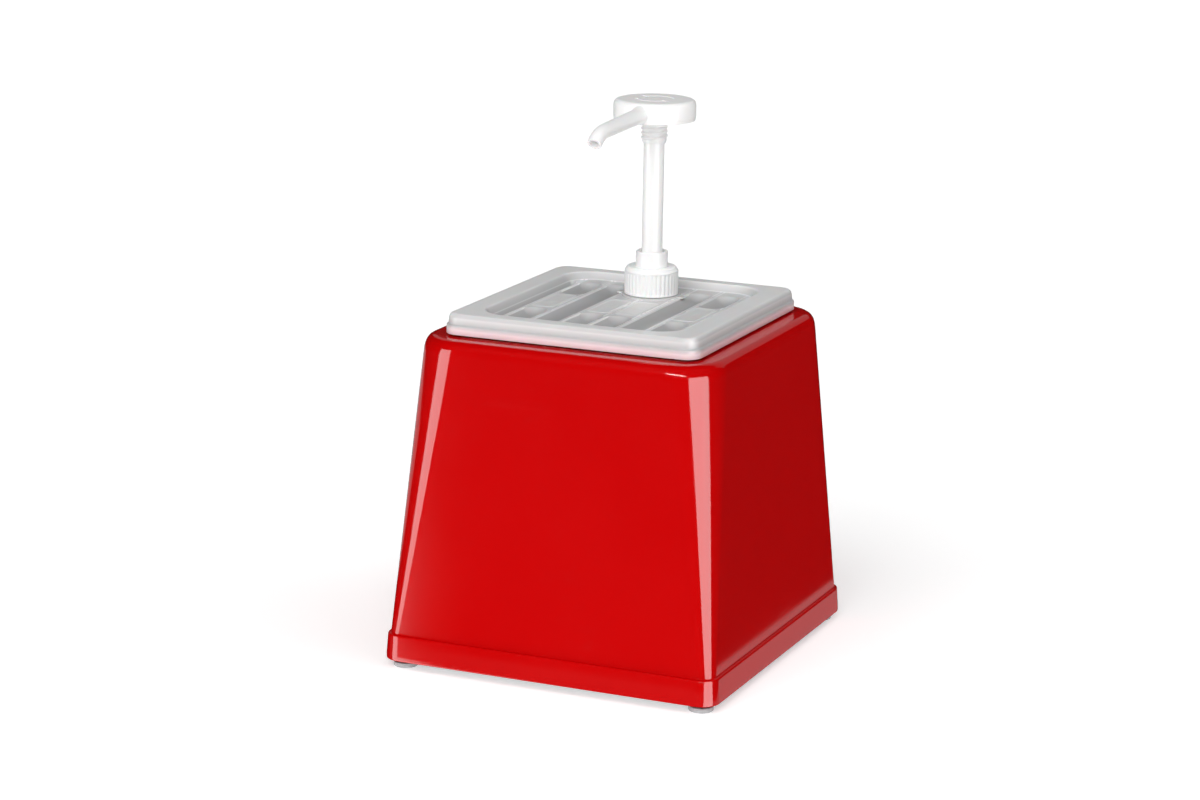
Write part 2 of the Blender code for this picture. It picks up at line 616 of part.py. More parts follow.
def make_head(pump):
    edge = fillet((HEAD_RADIUS - 4.0 * MM, HEAD_TOP - 4.0 * MM), 4.0 * MM, 80, 0, 5)
    under = HEAD_BOTTOM - 1.6 * MM
    roof = HEAD_TOP - 2.4 * MM
    socket = STEM_TOP + GAP
    profile = [(0.0, HEAD_TOP)] + edge + [
        (HEAD_RADIUS, HEAD_BOTTOM + 0.8 * MM), (HEAD_RADIUS - 0.8 * MM, HEAD_BOTTOM),
        (HEAD_RADIUS - 2.2 * MM, HEAD_BOTTOM), (HEAD_RADIUS - 2.2 * MM, roof), (9.2 * MM, roof),
        (9.2 * MM, under), (7.05 * MM, under), (7.05 * MM, socket), (STEM_BORE, socket),
        (STEM_BORE, HEAD_TOP - 4.5 * MM), (0.0, HEAD_TOP - 4.5 * MM)]
    head = turned("pump_head", profile, WHITE, pump, closed=False)
    path = spout_path()
    tube = [(co, radius) for co, radius in path[1:]]
    tube.insert(0, (path[0][0] + Vector((0, -7 * MM, 0)), 5.3))
    spout = place("spout_outer", tube_mesh("spout_outer", tube, MM, 4), at=pump)
    tip, before = path[-1][0], path[-2][0]
    bore_path = [(co, 3.3) for co, _ in path] + [(tip + (tip - before), 3.3)]
    bore_path[0] = (path[0][0] + Vector((0, -2 * MM, 0)), 3.3)
    bore = place("spout_bore", tube_mesh("spout_bore", bore_path, MM, 4), at=pump)
    boolean(head, spout, "UNION")
    boolean(head, bore, "DIFFERENCE")


def make_spring(pump):
    bottom = CYLINDER_FLOOR + GAP + SPRING_WIRE
    top = PISTON_BOTTOM - GAP - SPRING_WIRE
    per_turn = 12
    count = int(SPRING_TURNS * per_turn)
    coil = []
    for i in range(count + 1):
        angle = 2 * pi * i / per_turn
        z = bottom + (top - bottom) * i / count
        coil.append((Vector((SPRING_RADIUS * cos(angle), SPRING_RADIUS * sin(angle), z)), 1.0))
    place("return_spring", tube_mesh("return_spring", coil, SPRING_WIRE), STEEL, pump)


def make_intake(pump):
    low, high = TUBE_TOP + GAP, 117.0 * MM
    outer = SOCKET_BORE - GAP
    seat = [(outer, high), (outer, low), (3.0 * MM, low), (3.0 * MM, high - 1.2 * MM), (4.2 * MM, high)]
    turned("inlet_seat", seat, WHITE, pump, steps=INNER_STEPS)
    ball("inlet_ball", BALL_RADIUS, high + 1.5 * MM, STEEL, pump)
    tube = turned("dip_tube", [(TUBE_RADIUS, TUBE_TOP), (TUBE_RADIUS, TUBE_BOTTOM), (TUBE_BORE, TUBE_BOTTOM),
                               (TUBE_BORE, TUBE_TOP)], CLEAR, pump, steps=INNER_STEPS)
    notch = box("tube_notch", (-10 * MM, PUMP_Y - 2 * MM, 0.0), (10 * MM, PUMP_Y + 2 * MM, TUBE_BOTTOM + 4 * MM))
    boolean(tube, notch, "DIFFERENCE")


def main():
    pump = (0.0, PUMP_Y)
    make_housing()
    make_base()
    make_pan()
    make_lid()
    make_gasket(pump)
    make_cap(pump)
    make_cylinder(pump)
    make_chimney(pump)
    make_piston(pump)
    make_stem(pump)
    make_head(pump)
    make_spring(pump)
    make_intake(pump)


main()
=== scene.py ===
# %% [markdown]
# # A counter-top sauce dispenser
#
# The real object is a glossy red tapered housing on four grey feet. A milky food pan hangs in
# it under a frosted, ribbed lid, and a white hand pump is screwed to the lid. This lesson
# builds what the eye sees around a fixed engineering model, whose bodies and joints already
# exist. Each step says what the piece is, how it could be made, and why this way was chosen.

# %% Load the frame
from functools import partialmethod
from math import cos, hypot, pi, radians, sin, sqrt

import bmesh
import bpy
from mathutils import Matrix, Vector


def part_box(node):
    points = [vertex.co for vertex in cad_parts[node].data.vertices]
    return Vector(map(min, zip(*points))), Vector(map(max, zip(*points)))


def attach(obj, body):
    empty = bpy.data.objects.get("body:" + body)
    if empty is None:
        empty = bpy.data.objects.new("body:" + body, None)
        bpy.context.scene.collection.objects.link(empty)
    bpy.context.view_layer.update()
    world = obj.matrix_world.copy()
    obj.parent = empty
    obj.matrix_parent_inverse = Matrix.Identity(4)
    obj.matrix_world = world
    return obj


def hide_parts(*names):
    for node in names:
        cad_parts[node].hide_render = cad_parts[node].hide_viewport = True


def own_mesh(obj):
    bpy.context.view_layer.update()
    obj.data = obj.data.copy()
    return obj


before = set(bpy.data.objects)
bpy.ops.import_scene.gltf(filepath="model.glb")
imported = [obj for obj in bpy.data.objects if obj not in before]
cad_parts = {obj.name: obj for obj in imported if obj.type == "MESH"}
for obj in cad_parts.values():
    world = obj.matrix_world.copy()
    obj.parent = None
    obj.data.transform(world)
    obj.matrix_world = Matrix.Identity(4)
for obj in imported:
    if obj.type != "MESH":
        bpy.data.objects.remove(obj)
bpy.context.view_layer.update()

# %% [markdown]
# ## Measures
#
# All lengths are metres. Most pieces take their place from the frame's own boxes, so a change
# in the engineering model moves the looks with it. Only small details get numbers of their own.

# %% Units and places
MM = 0.001
PUMP = Vector((0.0, 0.046, 0.0))


def low(node):
    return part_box(node)[0]


def high(node):
    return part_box(node)[1]


def half(node):
    """Half width and half depth of a node that is centred on the axis."""
    return high(node).x, high(node).y


def stand(node):
    """The point on the counter under a node's middle."""
    return Vector(((low(node).x + high(node).x) / 2, (low(node).y + high(node).y) / 2, 0.0))


print("lid spans", [round(v / MM, 1) for v in high("lid") - low("lid")], "mm")

# %% [markdown]
# ## Shader maths as expressions
#
# A finish is easier to read as arithmetic than as a net of nodes. This class wraps one socket,
# and each operator adds the Math node it stands for. Colours and vectors can't pass through a
# Math node, so they get Mix and Vector Math. Every other node comes from one method.


# %% A socket that does arithmetic
class Signal:
    """One output socket in a material's node tree."""

    def __init__(self, tree, socket=None):
        self.tree = tree
        self.socket = socket

    def node(self, kind, settings=None, sockets=None, out=0):
        made = self.tree.nodes.new("ShaderNode" + kind)
        for name, value in (settings or {}).items():
            if name == "stops":
                while len(made.color_ramp.elements) < len(value):
                    made.color_ramp.elements.new(1.0)
                for element, (position, grey) in zip(made.color_ramp.elements, value):
                    element.position = position
                    element.color = (grey, grey, grey, 1.0)
            else:
                setattr(made, name, value)
        for key, value in (sockets or {}).items():
            if isinstance(value, Signal):
                self.tree.links.new(value.socket, made.inputs[key])
            else:
                made.inputs[key].default_value = value
        return Signal(self.tree, made.outputs[out])

    def math(self, operation, *others):
        values = {index + 1: other for index, other in enumerate(others)}
        return self.node("Math", {"operation": operation}, {0: self, **values})

    __add__ = __radd__ = partialmethod(math, "ADD")
    __mul__ = __rmul__ = partialmethod(math, "MULTIPLY")
    __sub__ = partialmethod(math, "SUBTRACT")
    __truediv__ = partialmethod(math, "DIVIDE")

    def __rsub__(self, other):
        return (self * -1.0).math("ADD", other)

    def clamp(self):
        return self.node("Clamp", sockets={"Value": self})

    def ramp(self, *stops):
        return self.node("ValToRGB", {"stops": stops}, {"Fac": self})

    def between(self, first, second):
        """Mix two colours, with this signal as the share of the second."""
        return self.node("Mix", {"data_type": "RGBA"}, {0: self, 6: first, 7: second}, out=2)

    def stretched(self, scale):
        """A vector signal scaled along its three axes."""
        return self.node("VectorMath", {"operation": "MULTIPLY"}, {0: self, 1: scale})

    def noise(self, scale, detail=3.0, roughness=0.5):
        sockets = {"Vector": self, "Scale": scale, "Detail": detail, "Roughness": roughness}
        return self.node("TexNoise", sockets=sockets)

    def cells(self, scale):
        return self.node("TexVoronoi", sockets={"Vector": self, "Scale": scale})


named = [name for name in vars(Signal) if not name.startswith("__")]
print("the Signal class knows", len(named), "named steps")

# %% [markdown]
# ## One way to start every finish
#
# Each finish is a Principled shader. The numbers that stay the same all over are set on its
# sockets, and only colour, roughness and bump vary over the surface.


# %% A finish from constants and three varying inputs
def rgba(*colour):
    return (*colour, 1.0)


WHITE = rgba(1.0, 1.0, 1.0)
FINISHES = {}


def new_finish(name, paint, **constants):
    """Make a material; paint(place) returns colour, roughness, bump height and bump depth."""
    material = bpy.data.materials.new(name)
    material.use_nodes = True
    tree = material.node_tree
    shader = tree.nodes["Principled BSDF"]
    for socket, value in constants.items():
        shader.inputs[socket.replace("_", " ")].default_value = value
    place = Signal(tree).node("TexCoord", out=3)
    colour, roughness, height, depth = paint(place)
    bump = place.node("Bump", sockets={"Height": height, "Distance": depth, "Strength": 1.0})
    for socket, signal in (("Base Color", colour), ("Roughness", roughness), ("Normal", bump)):
        tree.links.new(signal.socket, shader.inputs[socket])
    FINISHES[name] = material


# %% [markdown]
# ## Red ABS
#
# The housing is injection-moulded ABS with a polished tool finish. It isn't a perfect mirror:
# polished plastic has a faint orange peel, a few hairline wipe marks, and a haze where hands
# and cloths go. A mirror with one roughness would look like lacquered metal.


# %% Glossy red with orange peel and wipe marks
def hairlines(place, scale, along, thin=0.012):
    """Thin scratches: a noise field stretched along one axis, kept only near its middle value."""
    field = place.stretched(along).noise(scale, 2.0, 0.6)
    return 1.0 - ((field - 0.5).math("ABSOLUTE") / thin).clamp()


def paint_red(place):
    haze = place.noise(14.0, 4.0, 0.6)
    patches = place.noise(22.0, 1.0).ramp((0.55, 0.0), (0.75, 1.0))
    wipes = hairlines(place, 9.0, (1.0, 1.0, 14.0)) * patches
    colour = haze.between(rgba(0.505, 0.0006, 0.0010), rgba(0.545, 0.0010, 0.0014))
    roughness = 0.055 + haze * 0.05 + wipes * 0.10
    peel = place.noise(420.0, 2.0, 0.4) * 0.6 + place.noise(95.0, 1.0) * 0.4
    return colour, roughness, peel - wipes * 0.15, 0.000012


new_finish("red_abs", paint_red, Specular_IOR_Level=0.5, IOR=1.52)
print("red housing finish ready")

# %% [markdown]
# ## White polypropylene
#
# The pump is polypropylene, softer and waxier than ABS. Light goes a little way in, which
# rounds the shading, so it gets a small subsurface share. Its tool finish is satin. A faint
# white emission is a painted glow that brightens it.


# %% Satin white with a waxy depth and a faint painted glow
def paint_white(place):
    cloud = place.noise(60.0, 3.0, 0.55)
    specks = place.cells(900.0).ramp((0.0, 1.0), (0.05, 0.0))
    colour = cloud.between(rgba(0.92, 0.92, 0.915), rgba(0.95, 0.95, 0.945))
    colour = (specks * 0.25).between(colour, rgba(0.80, 0.79, 0.76))
    roughness = 0.26 + cloud * 0.14
    height = place.noise(1500.0, 2.0, 0.5) * 0.5 + place.noise(240.0, 2.0) * 0.5
    return colour, roughness, height, 0.00002


# A faint white emission: a painted glow that lifts the pump's white.
new_finish("white_pp", paint_white, Subsurface_Weight=0.12, Subsurface_Scale=0.0015, IOR=1.49,
           Emission_Color=WHITE, Emission_Strength=0.06)

# %% [markdown]
# ## Frosted polyethylene for the lid
#
# The lid is thin polyethylene. It is neither clear nor opaque: it glows softly, picks up red
# from the housing below it, and looks grey where the hollow pan is behind it. A subsurface
# share with a radius of a few millimetres gives the glow, and costs less than real
# transmission. The red on the lower skirt is a painted reflection, and the grey is painted
# shade, darker the lower the surface lies.


# %% Frosted grey with mould grain, painted shade and painted ridge highlights
def axis(place, index):
    """One coordinate of a vector signal."""
    return place.node("SeparateXYZ", sockets={"Vector": place}, out=index)


def band(signal, centre, half, soft):
    """1 near a value, falling to 0 a little way off it."""
    return ((half - (signal - centre).math("ABSOLUTE")) / soft + 0.5).clamp()


def beyond(across, along, half_x, half_y, soft):
    """0 within a rectangle round the middle, rising to 1 outside it."""
    past_x = ((across.math("ABSOLUTE") - half_x) / soft).clamp()
    return past_x.math("MAXIMUM", ((along.math("ABSOLUTE") - half_y) / soft).clamp())


RIDGE_STEP = 19.6 * MM
TROUGH_LEVEL, RIDGE_LEVEL, RIM_LEVEL = 218.8 * MM, 224.1 * MM, 229.3 * MM


def paint_lid(place):
    cloud = place.noise(38.0, 4.0, 0.6)
    swirl = place.stretched((1.0, 0.25, 1.0)).noise(160.0, 3.0, 0.6)
    across, along, height = (axis(place, i) for i in range(3))
    rim = beyond(across, along, 66 * MM, 75 * MM, 6 * MM)
    # Painted shade: the lid is coloured darker the lower its surface lies, darkest in the troughs, with
    # a lighter ramp on the rim.
    level = ((height - TROUGH_LEVEL) / (RIM_LEVEL - TROUGH_LEVEL)).clamp()
    inner = level.ramp((0.0, 0.0), (0.50, 0.44), (0.9, 0.62), (1.0, 1.0))
    outer = level.ramp((0.0, 0.0), (0.50, 0.50), (0.8, 0.84), (1.0, 1.0))
    raised = inner * (1.0 - rim) + outer * rim
    # Painted highlight: thin white lines along the ridge sides at ridge height, broken up by streaks;
    # the roughness is lowered there too.
    from_ridge = across.math("PINGPONG", RIDGE_STEP / 2)
    ridge_side = band(from_ridge, 1.2 * MM, 0.8 * MM, 0.3 * MM)
    line = ridge_side * band(height, RIDGE_LEVEL, 0.6 * MM, 0.3 * MM)
    ridge_highlight_streaks = place.stretched((1.0, 0.05, 1.0)).noise(90.0, 2.0).ramp((0.35, 0.25), (0.62, 1.0))
    painted_ridge_highlight = line * (1.0 - rim) * ridge_highlight_streaks
    # Painted light: the flat tops of the label pads are coloured lighter.
    pads = band(height, RIDGE_LEVEL + 0.55 * MM, 0.3 * MM, 0.15 * MM) * (1.0 - rim)
    colour = raised.between(rgba(0.29, 0.29, 0.295), rgba(0.86, 0.855, 0.855))
    colour = (cloud * 0.2).between(colour, rgba(0.62, 0.61, 0.615))
    colour = (pads * 0.5).between(colour, rgba(0.85, 0.85, 0.85))
    # Painted shade: the rounded outer edge of the rim is coloured darker.
    painted_rim_edge_shade = beyond(across, along, 82.5 * MM, 87 * MM, 2 * MM) * ((height - 226.2 * MM) / MM).clamp()
    colour = (painted_rim_edge_shade * 0.65).between(colour, rgba(0.48, 0.48, 0.485))
    # Painted reflection: the lower outer skirt is tinted pink, standing in for red light from the
    # housing.
    painted_red_reflection = ((222.2 * MM - height) / (3 * MM)).clamp() * rim
    colour = painted_red_reflection.between(colour, rgba(0.97, 0.86, 0.89))
    colour = painted_ridge_highlight.between(colour, rgba(0.98, 0.98, 0.98))
    roughness = 0.32 + swirl * 0.10 - painted_ridge_highlight * 0.16
    grain = place.noise(2200.0, 2.0, 0.5) * 0.3 + swirl * 0.7
    return colour, roughness, grain, 0.00002


new_finish("frosted_pe", paint_lid, Subsurface_Weight=0.15, Subsurface_Scale=0.0025, IOR=1.51)


# %% [markdown]
# ## The other plastics and rubbers
#
# The pan is the same family as the lid but thicker and milkier. The base plate has a spark
# eroded grain, so that it doesn't show dirt. The feet and seals are dull and dusty.


# %% Milky pan, grained base, rubber and silicone
def paint_milky(place):
    cloud = place.noise(30.0, 3.0, 0.5)
    flow = place.stretched((1.0, 1.0, 0.15)).noise(120.0, 2.0)
    colour = cloud.between(rgba(0.70, 0.71, 0.70), rgba(0.76, 0.765, 0.75))
    return colour, 0.28 + flow * 0.18, flow * 0.6 + place.noise(1400.0) * 0.4, 0.00003


def paint_grained(place):
    pits = place.cells(1300.0)
    colour = place.noise(45.0).between(rgba(0.30, 0.31, 0.32), rgba(0.36, 0.37, 0.38))
    return colour, 0.48 + pits * 0.2, pits, 0.00006


def paint_rubber(place):
    dust = place.noise(260.0, 4.0, 0.7)
    patches = dust.ramp((0.45, 0.0), (0.75, 1.0))
    colour = patches.between(rgba(0.46, 0.48, 0.49), rgba(0.60, 0.61, 0.61))
    return colour, 0.6 + dust * 0.3, place.noise(1800.0, 3.0, 0.7), 0.00006


def paint_silicone(place):
    cloud = place.noise(300.0, 3.0)
    colour = cloud.between(rgba(0.72, 0.72, 0.69), rgba(0.82, 0.82, 0.80))
    return colour, 0.5 + cloud * 0.2, place.noise(2600.0), 0.00003


new_finish("milky_pp", paint_milky, Subsurface_Weight=0.4, Subsurface_Scale=0.006, IOR=1.49)
new_finish("grey_abs", paint_grained, IOR=1.52)
new_finish("grey_rubber", paint_rubber, IOR=1.5)
new_finish("silicone", paint_silicone, Subsurface_Weight=0.2, Subsurface_Scale=0.002)


# %% [markdown]
# ## Stainless steel
#
# Spring, balls and screws are stainless. Drawn wire and rolled heads keep fine lines along
# their making, so roughness varies in streaks while the colour hardly does.


# %% Drawn steel
def paint_steel(place):
    lines = place.stretched((1.0, 1.0, 6.0)).noise(700.0, 3.0, 0.6)
    stain = place.noise(90.0, 3.0)
    colour = stain.between(rgba(0.56, 0.55, 0.53), rgba(0.66, 0.66, 0.65))
    return colour, 0.16 + lines * 0.2, lines, 0.00001


new_finish("steel", paint_steel, Metallic=1.0)
print("finishes:", ", ".join(FINISHES))

# %% [markdown]
# ## Shape helpers
#
# Nearly every piece here is either turned or a rounded rectangle that changes on its way up.
# Both are skins over a row of closed rings, so one function builds the faces for both. The
# profile is first drawn with sharp corners, and another function softens each corner by a
# stated length, the way a drawing gives an edge radius.


# %% Soften the corners of a profile in any number of dimensions
def soften(points, closed=False, steps=4):
    """Each point is (coordinates, cut). A corner is replaced by a short curve."""
    result = []
    count = len(points)
    for index, (corner, cut) in enumerate(points):
        here = Vector(corner)
        inside = closed or 0 < index < count - 1
        if not inside or cut <= 0.0:
            result.append(here)
            continue
        before = Vector(points[index - 1][0]) - here
        after = Vector(points[(index + 1) % count][0]) - here
        first = here + before * min(cut / before.length, 0.49)
        last = here + after * min(cut / after.length, 0.49)
        for step in range(steps + 1):
            t = step / steps
            result.append(first.lerp(here, t).lerp(here.lerp(last, t), t))
    return result


# %% Skin a row of rings
def skin(bm, rings, closed=False):
    """Join rings of points with faces. A ring of one point is a pole."""
    made = [[bm.verts.new(point) for point in ring] for ring in rings]
    pairs = list(zip(made, made[1:]))
    if closed:
        pairs.append((made[-1], made[0]))
    for first, second in pairs:
        for i in range(max(len(first), len(second))):
            a, b = first[i % len(first)], first[(i + 1) % len(first)]
            c, d = second[(i + 1) % len(second)], second[i % len(second)]
            bm.faces.new([v for k, v in enumerate((a, b, c, d)) if v not in (a, b, c, d)[:k]])
    return made


def rounded_ring(half_x, half_y, radius, z, steps=14):
    """A rounded rectangle: points round its four corner arcs, joined by straight sides."""
    points = []
    corners = ((1, 1), (-1, 1), (-1, -1), (1, -1))
    for quarter, (sx, sy) in enumerate(corners):
        centre = Vector((sx * (half_x - radius), sy * (half_y - radius), z))
        for step in range(steps + 1):
            angle = (quarter + step / steps) * pi / 2
            points.append(centre + radius * Vector((cos(angle), sin(angle), 0.0)))
    return points


def solid_loft(sections):
    """A solid skinned over rounded rectangles, with its first and last ones filled."""
    bm = bmesh.new()
    made = skin(bm, [rounded_ring(*section) for section in sections])
    bm.faces.new(made[0])
    bm.faces.new(reversed(made[-1]))
    return bm


def inset(sides, by, radius, z, cut):
    """A rounded rectangle drawn in from half sizes. All but sides and z are in millimetres."""
    return ((sides[0] - by * MM, sides[1] - by * MM, radius * MM, z), cut * MM)


def drawn(*points, base=0.0):
    """Profile points from (radius, height above a base, cut), all in millimetres."""
    return [((r * MM, base + z * MM), cut * MM) for r, z, cut in points]


# %% Turn a bmesh into a finished piece
def put_in_scene(name, data):
    obj = bpy.data.objects.new(name, data)
    bpy.context.scene.collection.objects.link(obj)
    return obj


def as_mesh(name, bm):
    mesh = bpy.data.meshes.new(name)
    bm.to_mesh(mesh)
    bm.free()
    return mesh


def make_piece(name, bm, finish, body, *nodes, crease=40.0):
    """Give the mesh its finish, its body, and the frame nodes it stands for."""
    bmesh.ops.remove_doubles(bm, verts=bm.verts, dist=1e-7)
    bmesh.ops.recalc_face_normals(bm, faces=bm.faces)
    mesh = as_mesh(name, bm)
    mesh.materials.append(FINISHES[finish])
    mesh.shade_smooth()
    mesh.set_sharp_from_angle(angle=radians(crease))
    piece = put_in_scene(name, mesh)
    smooth = piece.modifiers.new("even_shading", "WEIGHTED_NORMAL")
    smooth.keep_sharp = True
    smooth.weight = 90
    if body:
        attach(piece, body)
        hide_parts(*nodes)
        print(f"{name}: {len(mesh.polygons)} faces on {body}")
    return piece


# %% Level circles, and a profile turned round an axis
def circle(radius, z, steps=96, centre=PUMP, bulge=None):
    """A level ring of points; bulge(angle, z) adds to its radius."""
    if radius <= 1e-9:
        return [Vector((centre.x, centre.y, z))]
    points = []
    for step in range(steps):
        angle = 2 * pi * step / steps
        reach = radius + (bulge(angle, z) if bulge else 0.0)
        points.append(Vector((centre.x + reach * cos(angle), centre.y + reach * sin(angle), z)))
    return points


def circles(line, steps=96, centre=PUMP, bulge=None):
    """One circle for each (radius, height)."""
    return [circle(point[0], point[1], steps, centre, bulge) for point in line]


def turn(bm, profile, closed=True, steps=96, centre=PUMP, soft_steps=4):
    """Skin a softened profile of ((radius, height), cut) round a vertical axis, into bm."""
    skin(bm, circles(soften(profile, closed, soft_steps), steps, centre), closed)
    return bm


# %% Cut and join with Blender's Boolean
def merged(bm, tool, operation="DIFFERENCE"):
    """Apply one bmesh to another, and return the result as a new bmesh."""
    objects = []
    for source in (bm, tool):
        bmesh.ops.recalc_face_normals(source, faces=source.faces)
        objects.append(put_in_scene("shape", as_mesh("shape", source)))
    modifier = objects[0].modifiers.new("merge", "BOOLEAN")
    modifier.operation = operation
    modifier.solver = "EXACT"
    modifier.object = objects[1]
    graph = bpy.context.evaluated_depsgraph_get()
    mesh = bpy.data.meshes.new_from_object(objects[0].evaluated_get(graph))
    result = bmesh.new()
    result.from_mesh(mesh)
    for obj in objects:
        bpy.data.objects.remove(obj)
    return result


def peg(radius, bottom, top, centre=PUMP, steps=48):
    """A plain cylinder to cut or join with."""
    profile = [((0, top), 0), ((radius, top), 0), ((radius, bottom), 0), ((0, bottom), 0)]
    return turn(bmesh.new(), profile, closed=False, steps=steps, centre=centre)


def block(corner, opposite):
    bm = bmesh.new()
    corner, opposite = Vector(corner), Vector(opposite)
    size = Matrix.Diagonal((*(opposite - corner), 1.0))
    bmesh.ops.create_cube(bm, size=1.0, matrix=Matrix.Translation((corner + opposite) / 2) @ size)
    return bm


# %% [markdown]
# ## The housing
#
# A real housing is one moulding, open below, with a window in its top for the pan. Its four
# sides taper by three degrees, and the corner radius grows from about 9 mm at the collar to
# 31 mm at the top, so neither a bevelled box nor a scaled one would match. It is skinned over
# rounded-rectangle rings whose size, radius and height all come from one softened profile:
# up the outside, over the top edge, in to the window and back down the inside.

# %% Housing sections
COLLAR_Z = low("housing").z
COLLAR_TOP = COLLAR_Z + 17 * MM
HOUSING_TOP = high("housing").z
COLLAR = half("housing")
WINDOW = (76 * MM, 83 * MM)
WALL = 3 * MM


def wall_at(z, inset=0.0):
    """Half width, half depth and corner radius of the tapered wall at a height."""
    t = (z - COLLAR_TOP) / (HOUSING_TOP - COLLAR_TOP)
    half_x = 111.7 * MM - 10.3 * MM * t
    half_y = 116.6 * MM - 10.3 * MM * t
    radius = 8.7 * MM + 22.3 * MM * t
    return half_x - inset, half_y - inset, radius - inset, z


def housing_profile():
    lip = COLLAR_TOP - 0.2 * MM
    ceiling = HOUSING_TOP - WALL
    return [
        inset(COLLAR, 0, 12.3, COLLAR_Z, 1.0),
        inset(COLLAR, 0, 12.3, COLLAR_Z + 3 * MM, 0.5),
        inset(COLLAR, 1, 11.3, lip, 1.6),
        (wall_at(lip), 1.0 * MM),
        (wall_at(HOUSING_TOP), 9.5 * MM),
        inset(WINDOW, 0, 15, HOUSING_TOP, 0.6),
        inset(WINDOW, 0, 15, ceiling, 0.4),
        (wall_at(ceiling, WALL), 7.0 * MM),
        (wall_at(COLLAR_TOP, WALL), 0.8 * MM),
        inset(COLLAR, WALL / MM, 9.3, COLLAR_TOP - 3.5 * MM, 0.8),
        inset(COLLAR, WALL / MM, 9.3, COLLAR_Z, 0.8),
    ]


# %% Skin the housing and stand its screw posts inside
housing = bmesh.new()
sections = soften(housing_profile(), closed=True, steps=8)
skin(housing, [rounded_ring(*section) for section in sections], closed=True)
FOOT_PLACES = [stand(node) for node in sorted(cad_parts)
               if node.startswith("foot_") and "screw" not in node]
post = drawn((1.9, 34, .2), (6.0, 34, .6))
post += drawn((6.2, .3, .3), (1.9, .3, .2), base=high("foot_front_left").z)
for place in FOOT_PLACES:
    turn(housing, post, steps=32, centre=place)
make_piece("housing_shell", housing, "red_abs", "housing", "housing", crease=50)

# %% [markdown]
# ## The base plate
#
# A flat grey panel closes the housing from below and stands about 2 mm lower than the collar,
# so a thin grey line shows between the feet. Ribs keep it flat.

# %% Base plate with eased edges, ribs and foot holes
plate_low, plate_high = low("base_plate"), high("base_plate")
PLATE_TOP = plate_low.z + 3 * MM
PLATE = half("base_plate")
plate_profile = [inset(PLATE, 20, 2, PLATE_TOP, 0), inset(PLATE, 0, 6, PLATE_TOP, 0.5),
                 inset(PLATE, 0, 6, plate_low.z, 0.7), inset(PLATE, 20, 2, plate_low.z, 0)]
plate = solid_loft(soften(plate_profile, steps=5))
RIB_FOOT = PLATE_TOP - 1 * MM
for x in (-50, 0, 50):
    rib = block(((x - 1) * MM, -90 * MM, RIB_FOOT), ((x + 1) * MM, 90 * MM, plate_high.z))
    plate = merged(plate, rib, "UNION")
cross_rib = block((-85 * MM, -1 * MM, RIB_FOOT), (85 * MM, 1 * MM, plate_high.z))
plate = merged(plate, cross_rib, "UNION")
for place in FOOT_PLACES:
    plate = merged(plate, peg(4.9 * MM, 0.0, 20 * MM, place))
make_piece("base_panel", plate, "grey_abs", "housing", "base_plate", crease=30)

# %% [markdown]
# ## Feet and screws
#
# Each foot is a soft grey button with a spigot through the plate. A ring groove in its sole
# grips the counter. A pan-head screw goes up through it into the housing's post.


# %% Four feet, each with a grooved sole
def make_foot(node):
    top = high(node).z
    profile = (drawn((4.5, 0, .3), base=top)
               + drawn((4.5, -.3, .2), (7.9, -.3, .6), base=plate_low.z)
               + drawn((8.0, 0, .9), (6.4, 0, .15), (6.2, .5, .15), (5.5, .5, .15), (5.3, 0, .15),
                       (4.0, 0, .3), (4.0, 2.6, .2), (1.9, 2.6, .1))
               + drawn((1.9, 0, .2), base=top))
    foot = turn(bmesh.new(), profile, steps=56, centre=stand(node))
    make_piece(node + "_pad", foot, "grey_rubber", "housing", node)


def clamped(value, *limits):
    """A value kept between 0 and 1, and below any other limits."""
    return max(0.0, min(1.0, value, *limits))


def helix(depth, pitch, start, end, width=0.32):
    """A raised thread: how far it stands out at an angle and a height."""
    def thread(angle, z):
        turns = (z - start) / pitch - angle / (2 * pi)
        offset = abs((turns % 1.0) - 0.5) * 2.0
        ridge = clamped((offset - (1.0 - width * 2.0)) / width)
        fade = clamped((z - start) / (0.4 * pitch), (end - z) / (0.4 * pitch))
        return depth * ridge * fade
    return thread


def levels(top, bottom, count):
    return [top + (bottom - top) * i / count for i in range(count + 1)]


# %% Four screws with rolled threads and crossed recesses
def make_screw(node):
    centre = stand(node)
    tip, head = high(node).z, low(node).z
    screw = bmesh.new()
    rings = [circle(0, tip, centre=centre), circle(0.5 * MM, tip, 28, centre)]
    thread = helix(0.35 * MM, 1.3 * MM, head + 2.0 * MM, tip - 1.5 * MM)
    shank = [(1.2 * MM, z) for z in levels(tip - 2.4 * MM, head + 1.9 * MM, 44)]
    rings += circles(shank, 28, centre, thread)
    crown = drawn((1.2, 1.8, 0), (3.5, 1.8, .3), (3.5, .8, .5), (2.2, 0, .5), (0, 0, 0), base=head)
    rings += circles(soften(crown), 28, centre)
    skin(screw, rings)
    for dx, dy in ((2.0, 0.35), (0.35, 2.0)):
        reach = Vector((dx * MM, dy * MM, 0))
        slot_top = Vector((0, 0, head + 0.9 * MM))
        slot = block(centre - reach - Vector((0, 0, 1 * MM)), centre + reach + slot_top)
        screw = merged(screw, slot)
    make_piece(node + "_body", screw, "steel", "housing", node, crease=30)


for node in sorted(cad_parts):
    if node.startswith("foot_screw"):
        make_screw(node)
    elif node.startswith("foot_"):
        make_foot(node)

# %% [markdown]
# ## The food pan
#
# A sixth-size pan has a rolled rim, a stacking shoulder a little below it, and walls that
# taper so that pans nest. The same ring skin makes it: floor, inside wall, rim, and back down
# the outside. Raised level marks run up one wall, as plain bars with no figures.

# %% Pan shell
PAN_TOP = high("food_pan").z
PAN_BOTTOM = low("food_pan").z
PAN_RIM = half("food_pan")
RIM_FOOT = HOUSING_TOP + 0.3 * MM


def pan_section(half_x, half_y, radius, z, cut):
    return ((half_x * MM, half_y * MM, radius * MM, z), cut * MM)


